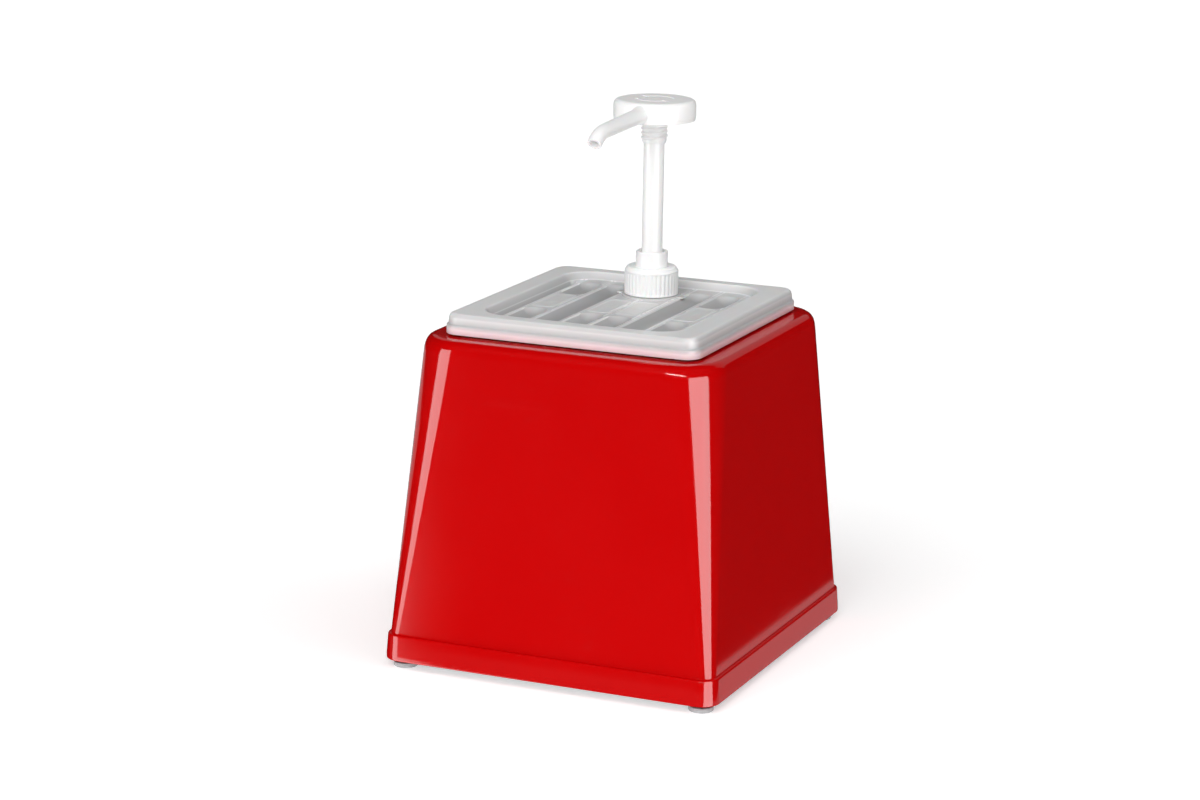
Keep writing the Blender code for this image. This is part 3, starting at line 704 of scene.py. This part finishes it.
pan_profile = [
    pan_section(40, 47, 4, PAN_BOTTOM + 2.2 * MM, 0),
    pan_section(64.6, 71.6, 13, PAN_BOTTOM + 2.2 * MM, 7),
    pan_section(68.8, 75.8, 14, PAN_TOP - 26 * MM, 1.2),
    pan_section(71.7, 78.7, 15, PAN_TOP - 22.8 * MM, 1.2),
    pan_section(72.0, 79.0, 15, PAN_TOP, 1.8),
    inset(PAN_RIM, 0, 16.5, PAN_TOP, 1.8),
    inset(PAN_RIM, 0, 16.5, RIM_FOOT, 0.5),
    inset(PAN_RIM, 2.2, 14.3, RIM_FOOT, 0.5),
    inset(PAN_RIM, 2.2, 14.3, PAN_TOP - 2.2 * MM, 0.8),
    pan_section(74.2, 81.2, 17, PAN_TOP - 2.2 * MM, 0.8),
    pan_section(73.8, 80.8, 16.6, PAN_TOP - 23.4 * MM, 1.2),
    pan_section(70.8, 77.8, 16, PAN_TOP - 27.4 * MM, 1.2),
    pan_section(67.0, 74.0, 15, PAN_BOTTOM, 7),
    pan_section(40, 47, 6, PAN_BOTTOM, 0),
]
pan = solid_loft(soften(pan_profile, steps=6))
make_piece("pan_shell", pan, "milky_pp", "pan", "food_pan", crease=50)

# %% Level bars inside the pan's front wall
marks = bmesh.new()
for count, z in enumerate(levels(PAN_BOTTOM + 30 * MM, PAN_TOP - 40 * MM, 4)):
    wide = (14 if count % 2 == 0 else 8) * MM
    lean = (z - PAN_BOTTOM) / (PAN_TOP - 26 * MM - PAN_BOTTOM)
    wall_y = -(71.6 + 4.2 * lean) * MM
    bar = soften([((-wide, wall_y - 0.4 * MM), 0), ((-wide, wall_y + 0.5 * MM), 0.3 * MM),
                  ((wide, wall_y + 0.5 * MM), 0.3 * MM), ((wide, wall_y - 0.4 * MM), 0)])
    skin(marks, [[Vector((p.x, p.y, z + dz)) for p in bar] for dz in (-0.5 * MM, 0.5 * MM)])
bmesh.ops.holes_fill(marks, edges=[e for e in marks.edges if e.is_boundary])
make_piece("pan_level_bars", marks, "milky_pp", "pan", "food_pan", crease=30)

# %% [markdown]
# ## The lid's landscape
#
# The lid's recess is a relief: a sunken floor, three pairs of half-round troughs with rounded
# ends, flat ridges between them, and four raised label pads. A relief like this is a height
# for every (x, y), so a grid is the natural mesh. The height is a sum of simple distances: to
# the recess wall, to each trough's centre line, and to each pad. Smooth steps round the edges.


# %% Distances and smooth steps
def smooth(t):
    t = clamped(t)
    return t * t * (3 - 2 * t)


def outside_box(x, y, half_x, half_y, radius, centre_x=0.0, centre_y=0.0):
    """Signed distance to a rounded rectangle: negative inside, positive outside."""
    dx = abs(x - centre_x) - (half_x - radius)
    dy = abs(y - centre_y) - (half_y - radius)
    return hypot(max(dx, 0.0), max(dy, 0.0)) + min(max(dx, dy), 0.0) - radius


LID_TOP = high("lid").z - 8.1 * MM
RECESS = 5.0 * MM
RECESS_HALF = (67.0 * MM, 76.8 * MM)
SLOPE = 2.3 * MM
BOSS_RADIUS, BOSS_WINDOW = 19.6 * MM, 15.2 * MM
SCOOP_RADIUS, SCOOP_RISE = 10.0 * MM, 5.2 * MM
TROUGH_X = [side * (9.8 + 19.6 * i) * MM for side in (-1, 1) for i in range(3)]
LONG_TROUGH = 29.4 * MM
PAD_X = [x for x in TROUGH_X if abs(abs(x) - LONG_TROUGH) > 1 * MM]
FRONT_RUN, BACK_RUN = (-64.5 * MM, -33 * MM), (32 * MM, 56 * MM)


def trough_runs(x):
    """Front and back ends of the scoops along one centre line."""
    if x not in PAD_X:
        return [(FRONT_RUN[0], BACK_RUN[1])]
    return [FRONT_RUN] if abs(x) < LONG_TROUGH else [FRONT_RUN, BACK_RUN]


def scoop_depth(x, y):
    """How deep the troughs are cut at a point, with their rims eased."""
    deepest, soft = 0.0, 0.35 * MM
    for centre in TROUGH_X:
        for front, back in trough_runs(centre):
            reach = hypot(x - centre, y - max(front, min(back, y)))
            if reach < SCOOP_RADIUS:
                depth = sqrt(SCOOP_RADIUS ** 2 - reach ** 2) - SCOOP_RISE
                eased = depth if depth > soft else soft * smooth((depth + soft) / (2 * soft))
                deepest = max(deepest, eased)
    return deepest


# %% The height of the lid at a point
def gutter_depth(x, y):
    """A narrow groove along both long sides of the recess."""
    reach = hypot(abs(x) - 62.4 * MM, y - max(-60 * MM, min(60 * MM, y)))
    return 2.6 * MM * smooth((3.2 * MM - reach) / (2.4 * MM))


def pad_rise(x, y):
    """Four label pads: a thin raised frame round a flat panel with a plain raised mark."""
    best = 0.0
    for index, centre in enumerate(PAD_X):
        d = outside_box(x, y, 7.4 * MM, 21.0 * MM, 3.0 * MM, centre, -0.5 * MM)
        rise = 0.5 * MM * smooth((0.25 * MM - d) / (0.5 * MM))
        rise -= 0.35 * MM * smooth((-0.9 * MM - d) / (0.4 * MM))
        rise += 0.3 * MM * pad_mark(index, x - centre, y + 0.5 * MM)
        best = max(best, rise)
    return best


def pad_mark(index, u, v):
    """Plain marks: a ring, a drop, a pair of bars and a dot row."""
    if index == 0:
        shape = abs(hypot(u, v) - 4.0 * MM) - 0.6 * MM
    elif index == 1:
        cone = max(abs(u) - (4 * MM - (v + 3 * MM)) * 0.45, v - 6 * MM, -v - 3 * MM)
        shape = min(hypot(u, v + 3 * MM) - 3.2 * MM, cone)
    elif index == 2:
        shape = min(outside_box(u, v, 4.4 * MM, MM, 0.8 * MM, 0.0, s * 4 * MM) for s in (-1, 1))
    else:
        shape = min(hypot(u, v - s * 5 * MM) - 1.5 * MM for s in (-1, 0, 1))
    return smooth((0.2 * MM - shape) / (0.4 * MM))


def recess_wall(x, y):
    """0 on the rim, 1 on the recess floor."""
    return smooth((SLOPE - outside_box(x, y, *RECESS_HALF, 19 * MM)) / (2 * SLOPE))


def lid_height(x, y):
    inside = recess_wall(x, y)
    if inside <= 0.0:
        return LID_TOP
    clear_of_boss = smooth((hypot(x, y - PUMP.y) - BOSS_RADIUS) / (0.8 * MM))
    floor = LID_TOP - RECESS * inside
    cut = max(scoop_depth(x, y), gutter_depth(x, y)) * smooth((inside - 0.6) / 0.4)
    return floor + (pad_rise(x, y) - cut) * clear_of_boss


print("lid height at the centre", round(lid_height(0, 0) / MM, 2),
      "mm, in a trough", round(lid_height(LONG_TROUGH, 0) / MM, 2), "mm")

# %% [markdown]
# ## From heights to a lid
#
# The grid is cut to a rectangle a little larger than the recess, where it is already flat at
# rim height. A loft then carries that edge out over the rim and down the two-tier skirt. A
# Solidify modifier gives the whole sheet its wall. Last, the boss for the pump is turned and
# joined, with a round window cut through the sheet under it.


# %% Grid lines packed closely at the ridges
def grid_lines(reach, centres, fine, coarse):
    lines = [-reach]
    while lines[-1] < reach - 1e-6:
        near = min((abs(lines[-1] + 0.5 * coarse - c) for c in centres), default=1.0)
        lines.append(min(reach, lines[-1] + (fine if near < 3.2 * MM else coarse)))
    return lines


edge_x, edge_y = RECESS_HALF[0] + 2.6 * MM, RECESS_HALF[1] + 2.6 * MM
ridges = [side * 19.6 * i * MM for side in (-1, 1) for i in range(4)] + [-66.8 * MM, 66.8 * MM]
grid_x = grid_lines(edge_x, ridges, 0.42 * MM, 1.0 * MM)
ends = [-76.8 * MM, 76.8 * MM, -73 * MM, 64.5 * MM, -24.5 * MM, 24.0 * MM, -21 * MM, 20.5 * MM]
grid_y = grid_lines(edge_y, ends, 0.5 * MM, 1.25 * MM)
print("lid grid:", len(grid_x), "by", len(grid_y))

# %% Sheet, rim and skirt in one surface
lid = bmesh.new()
net = [[lid.verts.new((x, y, lid_height(x, y))) for x in grid_x] for y in grid_y]
for row, above in zip(net, net[1:]):
    for i in range(len(grid_x) - 1):
        middle = (row[i].co + above[i + 1].co) / 2
        if hypot(middle.x, middle.y - PUMP.y) > BOSS_WINDOW:
            lid.faces.new((row[i], row[i + 1], above[i + 1], above[i]))
loose = [v for v in lid.verts if not v.link_faces]
bmesh.ops.delete(lid, geom=loose, context="VERTS")
inner_edge = (net[0] + [row[-1] for row in net[1:-1]]
              + net[-1][::-1] + [row[0] for row in reversed(net[1:-1])])
STEP_Z = 222.4 * MM
SKIRT_FOOT = low("lid").z
LID_HALF = half("lid")
skirt = soften([inset((edge_x, edge_y), -1, 2, LID_TOP, 0), inset(LID_HALF, 1.8, 9, LID_TOP, 4.2),
                inset(LID_HALF, 1.2, 9.4, STEP_Z, 1),
                inset(LID_HALF, 0, 10.5, STEP_Z - 0.4 * MM, 1.2),
                inset(LID_HALF, 0, 10.5, SKIRT_FOOT, 0)], steps=6)
skirt_rings = skin(lid, [rounded_ring(*s, steps=16) for s in skirt])
lid.edges.ensure_lookup_table()
outline = [lid.edges.get((inner_edge[i - 1], inner_edge[i])) for i in range(len(inner_edge))]
first = skirt_rings[0]
outline += [e for i in range(len(first)) if (e := lid.edges.get((first[i - 1], first[i])))]
bmesh.ops.triangle_fill(lid, use_beauty=True, edges=[e for e in outline if e], normal=(0, 0, 1))
print("lid sheet:", len(lid.faces), "faces")

# %% Give the sheet its thickness
bmesh.ops.remove_doubles(lid, verts=lid.verts, dist=1e-7)
bmesh.ops.recalc_face_normals(lid, faces=lid.faces)
top_face = max(lid.faces, key=lambda face: face.calc_center_median().z)
if top_face.normal.z < 0:
    bmesh.ops.reverse_faces(lid, faces=lid.faces)
lid_sheet = make_piece("lid_sheet", lid, "frosted_pe", "lid", "lid", crease=50)
thick = lid_sheet.modifiers.new("wall", "SOLIDIFY")
thick.thickness = 1.5 * MM
thick.offset = -1.0
lid_sheet.modifiers.move(1, 0)

# %% Boss and threaded neck
BOSS_TOP = 225.4 * MM
NECK_TOP = high("lid").z
neck = bmesh.new()
coil = helix(1.1 * MM, 3.5 * MM, 226.6 * MM, NECK_TOP - 1.2 * MM)
boss = soften(drawn((13.2, 222.3, .4), (16.2, 222.3, .4), (19.5, 223.2, .4))
              + drawn((19.5, 0, .5), (14.5, 0, .3), base=BOSS_TOP))
threaded = [(14.5 * MM, z) for z in levels(BOSS_TOP + 0.6 * MM, NECK_TOP - 0.5 * MM, 34)]
lip = soften(drawn((14.5, -.5, 0), (14.5, 0, .4), (13.2, 0, .4), base=NECK_TOP)
             + drawn((13.2, 224, 0)))
skin(neck, circles(boss) + circles(threaded, bulge=coil) + circles(lip[1:]), closed=True)
make_piece("lid_neck", neck, "frosted_pe", "lid", "lid", crease=45)

# %% Side lugs on the boss
lugs = bmesh.new()
for side in (-1, 1):
    x0, x1 = sorted((side * 18.8 * MM, side * 23.5 * MM))
    bit = block((x0, PUMP.y - 3.0 * MM, 223.9 * MM), (x1, PUMP.y + 3.0 * MM, BOSS_TOP - 0.3 * MM))
    bmesh.ops.bevel(bit, geom=bit.edges, offset=0.5 * MM, segments=3, affect="EDGES")
    lugs.from_mesh(as_mesh("lug", bit))
make_piece("lid_lugs", lugs, "frosted_pe", "lid", "lid", crease=30)

# %% [markdown]
# ## Gasket and cap
#
# A silicone washer sits on the neck. The screw cap clamps the pump's flange onto it. Its grip
# is a row of rounded ribs. They are made by letting the radius wave with the angle, and
# fading the wave out toward the crown and the skirt's foot.

# %% Washer and ribbed cap
washer = (drawn((13.35, 0, .2), (15.2, 0, .25), base=low("neck_gasket").z)
          + drawn((15.2, 0, .25), (13.35, 0, .2), base=high("neck_gasket").z))
make_piece("neck_washer", turn(bmesh.new(), washer), "silicone", "gasket", "neck_gasket")

CAP_LOW, CAP_TOP = low("screw_cap").z, high("screw_cap").z
CAP_RADIUS = (high("screw_cap").x - low("screw_cap").x) / 2
RIBS, AROUND = 36, 288


def grip(angle, z):
    wave = abs(cos(RIBS * angle / 2)) ** 1.3
    from_foot = smooth((z - CAP_LOW - 0.6 * MM) / (0.9 * MM))
    from_crown = smooth((CAP_TOP - 3.1 * MM - z) / (1.0 * MM))
    return -0.45 * MM * (1 - wave) * from_foot * from_crown


cap = bmesh.new()
cap_line = soften([((15.9 * MM, CAP_LOW), 0.3 * MM), ((CAP_RADIUS, CAP_LOW), 0.4 * MM)], steps=3)
GRIP_LEVELS = (0.6, 0.8, 1.0, 1.2, 1.4, 1.6, 2.5, 6, 10, 13.4, 13.8, 14.0, 14.2, 14.4, 14.6, 14.8)
rings = circles(cap_line, AROUND)
rings += circles([(CAP_RADIUS, CAP_LOW + level * MM) for level in GRIP_LEVELS], AROUND, bulge=grip)
crown = ([((CAP_RADIUS, CAP_TOP - 3.2 * MM), 0), ((CAP_RADIUS, CAP_TOP - 2.4 * MM), 0.4 * MM)]
         + drawn((16.9, -1.7, .4), (16.2, 0, 1.0), (10.9, 0, .4), (10.9, -1.1, .3), (15.9, -1.1, .6),
                 base=CAP_TOP) + drawn((15.9, 0, .3), base=CAP_LOW))
rings += circles(soften(crown, steps=5)[1:], AROUND)
skin(cap, rings)
make_piece("ribbed_cap", cap, "white_pp", "cap", "screw_cap", crease=60)

# %% [markdown]
# ## The pump's body and chimney
#
# The cylinder hangs through the neck and carries a flange. The chimney above the cap guides
# the stem. Both are turned parts, and the piston, seal, wiper and seat are too. One helper
# turns a profile given in millimetres, as (radius, height, cut).


# %% A helper for turned parts in millimetres
def turned_shape(profile, steps=96):
    return turn(bmesh.new(), drawn(*profile), steps=steps)


def turned(name, finish, body, node, profile, steps=96):
    make_piece(name, turned_shape(profile, steps), finish, body, node)


turned("pump_barrel", "white_pp", "pump", "pump_cylinder",
       [(11.3, 240.7, .3), (15.2, 240.7, .3), (15.2, 239.2, .3), (12.9, 239.2, .5), (12.9, 124, 1.2),
        (8.2, 121.5, 1.0), (8.2, 98, .5), (6.6, 98, .3), (6.6, 121.2, .4), (4.6, 124.5, .4),
        (11.3, 124.5, 1.0)])
turned("stem_chimney", "white_pp", "pump", "guide_chimney",
       [(9.0, 254, .5), (10.45, 254, .5), (10.45, 242.4, .9), (14.5, 242.4, .3), (14.5, 241, .2),
        (11, 241, .2), (11, 228, .6), (7.4, 228, .3), (7.4, 229.6, .3), (9.0, 229.6, .3)], steps=120)
turned("wiper_ring", "silicone", "pump", "stem_wiper",
       [(8.7, 232.9, .3), (8.7, 229.9, .3), (7.4, 229.9, .2), (7.05, 230.6, .2), (7.35, 231.4, .3),
        (7.05, 232.2, .2), (7.3, 232.9, .2)])
turned("piston_body", "white_pp", "piston", "piston",
       [(10.7, 227.4, .5), (10.7, 219, .2), (9.3, 219, .2), (9.3, 215, .2), (10.7, 215, .2),
        (10.7, 213, .4), (3.2, 213, .3), (3.2, 218, .2), (4.2, 219, .2), (7.05, 219, .2),
        (7.05, 227.4, .2)])
turned("piston_cup", "silicone", "piston", "piston_seal",
       [(11.0, 218.4, .15), (10.75, 216.9, .3), (11.0, 215.6, .15), (9.6, 215.6, .2), (9.6, 218.4, .2)])
turned("stem_tube", "white_pp", "head", "plunger_stem",
       [(6.75, 342.5, .4), (6.75, 219.3, .4), (4.6, 219.3, .3), (4.6, 342.5, .3)])
turned("valve_seat", "white_pp", "pump", "inlet_seat",
       [(6.3, 117, .3), (6.3, 103.8, .3), (3.0, 103.8, .3), (3.0, 115.8, .2), (4.2, 117, .2)])

# %% Suction tube with a notched end
dip = turned_shape([(6.2, 103.5, .2), (6.2, 82.5, .2), (4.9, 82.5, .2), (4.9, 103.5, .2)], steps=64)
notch = block((-10 * MM, PUMP.y - 2 * MM, 70 * MM), (10 * MM, PUMP.y + 2 * MM, 86.5 * MM))
make_piece("suction_tube", merged(dip, notch), "milky_pp", "pump", "dip_tube", crease=30)


# %% [markdown]
# ## Balls, made from a cube
#
# A ball made from a subdivided cube has no poles, so steel reflects evenly all over it. Each
# point of the cube is pushed out to the radius.


# %% Two valve balls
def make_ball(node, body):
    centre = (low(node) + high(node)) / 2
    radius = 3.8 * MM
    ball = bmesh.new()
    bmesh.ops.create_cube(ball, size=1.0)
    bmesh.ops.subdivide_edges(ball, edges=ball.edges, cuts=11, use_grid_fill=True)
    for v in ball.verts:
        v.co = centre + radius * v.co.normalized()
    make_piece(node + "_steel", ball, "steel", body, node)


make_ball("outlet_ball", "outlet_valve")
make_ball("inlet_ball", "inlet_valve")


# %% [markdown]
# ## The return spring
#
# A wire is a circle carried along a path. The path of a compression spring isn't an even
# helix: its end turns lie almost flat, so that they sit square. The height of the path is
# eased near both ends to give these closed turns.


# %% Sweep a circle along a path
def rod(rings):
    """A new shape skinned over rings, with its two ends filled."""
    bm = bmesh.new()
    made = skin(bm, rings)
    bm.faces.new(reversed(made[0]))
    bm.faces.new(made[-1])
    return bm


def sweep(path, radii, steps):
    """Carry a circle along points, keeping its twist small from one point to the next."""
    side = None
    rings = []
    for index, point in enumerate(path):
        before, after = path[max(index - 1, 0)], path[min(index + 1, len(path) - 1)]
        ahead = (after - before).normalized()
        if side is None:
            side = ahead.orthogonal().normalized()
        side = (side - ahead * side.dot(ahead)).normalized()
        other = ahead.cross(side)
        rings.append([point + radii[index] * (cos(a) * side + sin(a) * other)
                      for a in (2 * pi * k / steps for k in range(steps))])
    return rod(rings)


# %% Spring with closed end turns
def spring_path(low_z, high_z, radius, turns, per_turn=40):
    """The end turns climb 1.3 mm a turn for 0.8 of a turn, and the rest climb evenly."""
    end_turn, end_pitch = 0.8, 1.3 * MM
    points = []
    count = int(turns * per_turn)
    for i in range(count + 1):
        wound = i / count * turns
        climb = clamped((wound - end_turn) / (turns - 2 * end_turn))
        flat = end_pitch * (min(wound, end_turn) + max(0.0, wound - turns + end_turn))
        z = low_z + flat + (high_z - low_z - 2 * end_turn * end_pitch) * climb
        angle = 2 * pi * wound
        points.append(PUMP + Vector((radius * cos(angle), radius * sin(angle), z)))
    return points


WIRE = 0.6 * MM
spring_foot, spring_head = low("return_spring").z, high("return_spring").z
coil_path = spring_path(spring_foot + WIRE, spring_head - WIRE, 8.9 * MM, 6.5)
spring = sweep(coil_path, [WIRE] * len(coil_path), steps=14)
spring_wire = make_piece("spring_wire", spring, "steel", "pump", "return_spring")
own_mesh(spring_wire)

# %% [markdown]
# ## The lock collar
#
# When the pump is shipped, its head is pushed down and turned, and this short thread under the
# head screws into the chimney to hold it there. It shows as a smooth flange and a few turns of
# shallow thread.

# %% Flange and a helical thread
collar = bmesh.new()
collar_top, collar_low = high("lock_collar").z, low("lock_collar").z
collar_thread = helix(0.85 * MM, 3.0 * MM, collar_low + 1.4 * MM, collar_top - 1.7 * MM, width=0.3)
collar_line = soften(drawn((7.05, 0, 0), (9.2, 0, .3), (9.2, -1.2, .4), (7.8, -1.5, .2),
                           (7.8, -1.8, 0), base=collar_top))
screwed = [(7.8 * MM, z) for z in levels(collar_top - 1.9 * MM, collar_low + 0.9 * MM, 48)]
foot_ring = [(7.5 * MM, collar_low), (7.05 * MM, collar_low)]
rings = circles(collar_line) + circles(screwed, bulge=collar_thread) + circles(foot_ring)
skin(collar, rings, closed=True)
make_piece("lock_thread", collar, "white_pp", "head", "lock_collar", crease=60)

# %% [markdown]
# ## The pump head and spout
#
# The head is a hollow button with a spout blended into its rim. The button is turned. The
# spout is swept with a flare at its root, joined with a Boolean, and bored out along the same
# path. Ribs under the button keep it stiff and show only from below. Two shallow curved marks
# are cut into its top.


# %% Spout path
SPOUT_RADIUS, SPOUT_BORE = 4.7 * MM, 3.4 * MM


def spout_line():
    """Points and outer radii from inside the head to the spout's mouth."""
    droop, end, bend_radius = radians(2.3), radians(42), 24 * MM
    start = PUMP + Vector((0, 0, 347.4 * MM))
    run = PUMP.y + 37 * MM
    bend = start + Vector((0, -run, -run * sin(droop)))
    line = []
    for i in range(23):
        share = i / 22
        point = start.lerp(bend, 0.08 + 0.92 * share)
        out = (start - point).length / MM - 26.0
        flare = 1.5 * max(0.0, 1 - max(out, 0.0) / 4.5) ** 2
        line.append((point, (5.35 - 0.65 * share + (flare if out > -1.5 else 1.5)) * MM))
    for i in range(1, 15):
        angle = droop + (end - droop) * i / 14
        forward, down = sin(angle) - sin(droop), cos(droop) - cos(angle)
        step = Vector((0, -bend_radius * forward, -bend_radius * down))
        line.append((bend + step, SPOUT_RADIUS))
    return line


# %% A cutter for a curved slot
def arc_tool(inner, outer, begin, end, bottom, top, steps=24):
    rings = []
    for i in range(steps + 1):
        angle = begin + (end - begin) * i / steps
        ray = Vector((cos(angle), sin(angle), 0))
        rings.append([PUMP + ray * reach + Vector((0, 0, z))
                      for reach, z in ((inner, bottom), (outer, bottom), (outer, top), (inner, top))])
    return rod(rings)


# %% Button, spout, bore and ribs
HEAD_TOP, HEAD_LOW, HEAD_R = high("pump_head").z, 340.5 * MM, 26.9 * MM
profile = (drawn((0, 0, 0), (26.9, 0, 4.2), base=HEAD_TOP)
           + drawn((26.9, 1.9, .2), (26.55, 1.7, .1), (26.55, 0, .5), (24.7, 0, .5), base=HEAD_LOW)
           + drawn((24.7, -2.4, 1.6), (9.2, -2.4, 1.0), base=HEAD_TOP)
           + drawn((9.2, -1.6, .3), (7.05, -1.6, .3), base=HEAD_LOW)
           + drawn((7.05, 342.8, .2), (4.6, 342.8, .2))
           + drawn((4.6, -4.5, .6), (0, -4.5, 0), base=HEAD_TOP))
button = turn(bmesh.new(), profile, closed=False, steps=128, soft_steps=8)
line = spout_line()
outside = line[4:]
spout = sweep([p for p, _ in outside], [r for _, r in outside], steps=64)
button = merged(button, spout, "UNION")
tip = line[-1][0]
ahead = (tip - line[-2][0]).normalized()
bore_points = [p for p, _ in line] + [tip + ahead * 3 * MM]
bore = sweep(bore_points, [SPOUT_BORE] * len(bore_points), steps=48)
button = merged(button, bore)
RIB_EIGHTHS = (0, 1, 2, 3, 4, 5, 7)  # the spout takes the place of number 6
for i in RIB_EIGHTHS:
    rib = block((8.6 * MM, -0.6 * MM, HEAD_LOW + 2.5 * MM),
                (HEAD_R - 1.6 * MM, 0.6 * MM, HEAD_TOP - 1.8 * MM))
    swing = Matrix.Translation(PUMP) @ Matrix.Rotation(i * pi / 4, 4, "Z")
    bmesh.ops.transform(rib, verts=rib.verts, matrix=swing)
    button = merged(button, rib, "UNION")
mark_floor, clear_above = HEAD_TOP - 0.35 * MM, HEAD_TOP + MM
for turned_by in (0, 180):
    begin, end = radians(turned_by + 20), radians(turned_by + 140)
    arc = arc_tool(11 * MM, 12.6 * MM, begin, end, mark_floor, clear_above)
    bar = arc_tool(8.6 * MM, 15.0 * MM, end, end + radians(9), mark_floor, clear_above, 4)
    button = merged(merged(button, arc), bar)
make_piece("push_head", button, "white_pp", "head", "pump_head", crease=35)

# %% [markdown]
# ## Floor, lights and camera
#
# The setting is a plain white studio. A wide soft sun from the front lights the scene evenly,
# and the floor glows a little so that it stays white. Polished red shows whatever stands
# around it, so two tall softboxes draw the bright strips down its rounded corners, cards on
# the floor warm its lower edges, and the floor itself is hidden from mirror rays to keep the
# flat faces deep red.


# %% White floor
def paint_floor(place):
    cloud = place.noise(3.0, 2.0)
    colour = cloud.between(rgba(0.90, 0.90, 0.90), rgba(0.93, 0.93, 0.93))
    return colour, 0.7 + cloud * 0.1, place.noise(300.0), 0.00002


new_finish("floor_white", paint_floor, Specular_IOR_Level=0.0,
           Emission_Color=WHITE, Emission_Strength=0.42)
STUDIO = 8.0


def studio_shell(line):
    return turn(bmesh.new(), [(p, 0) for p in line], closed=False, steps=64, centre=Vector())


floor = studio_shell([(0, -0.2 * MM), (STUDIO, -0.2 * MM)])
ground = make_piece("studio_floor", floor, "floor_white", None)
ground.visible_glossy = False
if ground.data.polygons[0].normal.z < 0:
    ground.data.flip_normals()

# %% A white dome beyond the floor, seen by the camera alone
def paint_dome(place):
    cloud = place.noise(0.5, 1.0)
    colour = cloud.between(rgba(0.02, 0.02, 0.02), rgba(0.03, 0.03, 0.03))
    return colour, 0.8 + cloud * 0.1, cloud, 0.0001


new_finish("dome_white", paint_dome, Specular_IOR_Level=0.0,
           Emission_Color=WHITE, Emission_Strength=1.05)
slopes = [radians(v) for v in range(-30, 90, 10)]
dome = studio_shell([(STUDIO * cos(a), STUDIO * sin(a)) for a in slopes] + [(0, STUDIO)])
sky = make_piece("studio_dome", dome, "dome_white", None)
sky.visible_glossy = sky.visible_diffuse = sky.visible_shadow = sky.visible_transmission = False


# %% Softboxes aimed at the product
def aimed(obj, azimuth, elevation, distance, target=(0, 0, 0.15)):
    """Place a light by compass angle from the front, toward the right."""
    a, e = radians(azimuth), radians(elevation)
    away = Vector((sin(a) * cos(e), -cos(a) * cos(e), sin(e)))
    obj.location = Vector(target) + away * distance
    obj.rotation_euler = (-away).to_track_quat("-Z", "Y").to_euler()


def area_light(name, width, height, power):
    """A rectangular light that leaves matt surfaces alone."""
    data = bpy.data.lights.new(name, "AREA")
    data.shape = "RECTANGLE"
    data.size, data.size_y = width, height
    data.energy = power
    sheet = put_in_scene(name, data)
    sheet.visible_diffuse = False
    return sheet


def softbox(name, azimuth, elevation, distance, width, height, power, target=(0, 0, 0.15)):
    aimed(area_light(name, width, height, power), azimuth, elevation, distance, target)


def broad_sun(name, azimuth, elevation, strength, spread):
    """A soft sun that lights matt surfaces and leaves no glint."""
    data = bpy.data.lights.new(name, "SUN")
    data.energy = strength
    data.angle = radians(spread)
    lamp = put_in_scene(name, data)
    aimed(lamp, azimuth, elevation, 3)
    lamp.visible_glossy = False


def card(name, corner, opposite, glow):
    """A glowing sheet lying on the floor, seen only in polished faces."""
    width, depth = opposite[0] - corner[0], opposite[1] - corner[1]
    sheet = area_light(name, width, depth, glow * pi * width * depth)
    sheet.location = ((corner[0] + opposite[0]) / 2, (corner[1] + opposite[1]) / 2, 0.4 * MM)
    sheet.rotation_euler = (pi, 0, 0)
    sheet.visible_camera = False


broad_sun("front_sun", 0, 38, 2.5, 60)
broad_sun("ceiling_sun", 85, 50, 0.95, 60)
softbox("right_box", 61, -14, 1.3, 1.15, 1.6, 34)
softbox("left_box", -43, -14, 1.3, 0.66, 1.6, 17)
softbox("back_panel", 180, 34, 2.2, 3.4, 1.3, 3.5)
softbox("thin_lamp", 8, 25.6, 1.5, 1.3, 0.03, 12, target=(0.09, -0.1, 0.2))
card("right_card", (0.1165, -0.13), (0.15, 0.28), 0.44)
card("front_card", (-0.3, -0.2), (0.14, -0.122), 0.10)
card("left_card", (-1.3, 0.05), (-0.117, 1.2), 0.45)

world = bpy.data.worlds.new("studio_air")
world.use_nodes = True
air = world.node_tree.nodes["Background"]
air.inputs["Color"].default_value = (1, 1, 1, 1)
air.inputs["Strength"].default_value = 0.01
bpy.context.scene.world = world
bpy.context.scene.view_settings.view_transform = "Standard"

# %% Camera
YAW, PITCH, ROLL = -0.415, 0.237, 0.014
CAMERA_PLACE = (0.824031, -1.964608, 0.672156)
FOCAL_LENGTH, SHIFT = 101.33, (0.03058, 0.00617)
ahead = Vector((sin(YAW) * cos(PITCH), cos(YAW) * cos(PITCH), -sin(PITCH)))
right = ahead.cross(Vector((0, 0, 1))).normalized()
up = right.cross(ahead)
right, up = right * cos(ROLL) + up * sin(ROLL), up * cos(ROLL) - right * sin(ROLL)
lens = bpy.data.cameras.new("studio_camera")
lens.sensor_width = 36.0
lens.lens = FOCAL_LENGTH
lens.shift_x, lens.shift_y = SHIFT
camera = put_in_scene("studio_camera", lens)
aim = Matrix((right, up, -ahead)).transposed().to_4x4()
camera.matrix_world = Matrix.Translation(CAMERA_PLACE) @ aim
bpy.context.scene.camera = camera
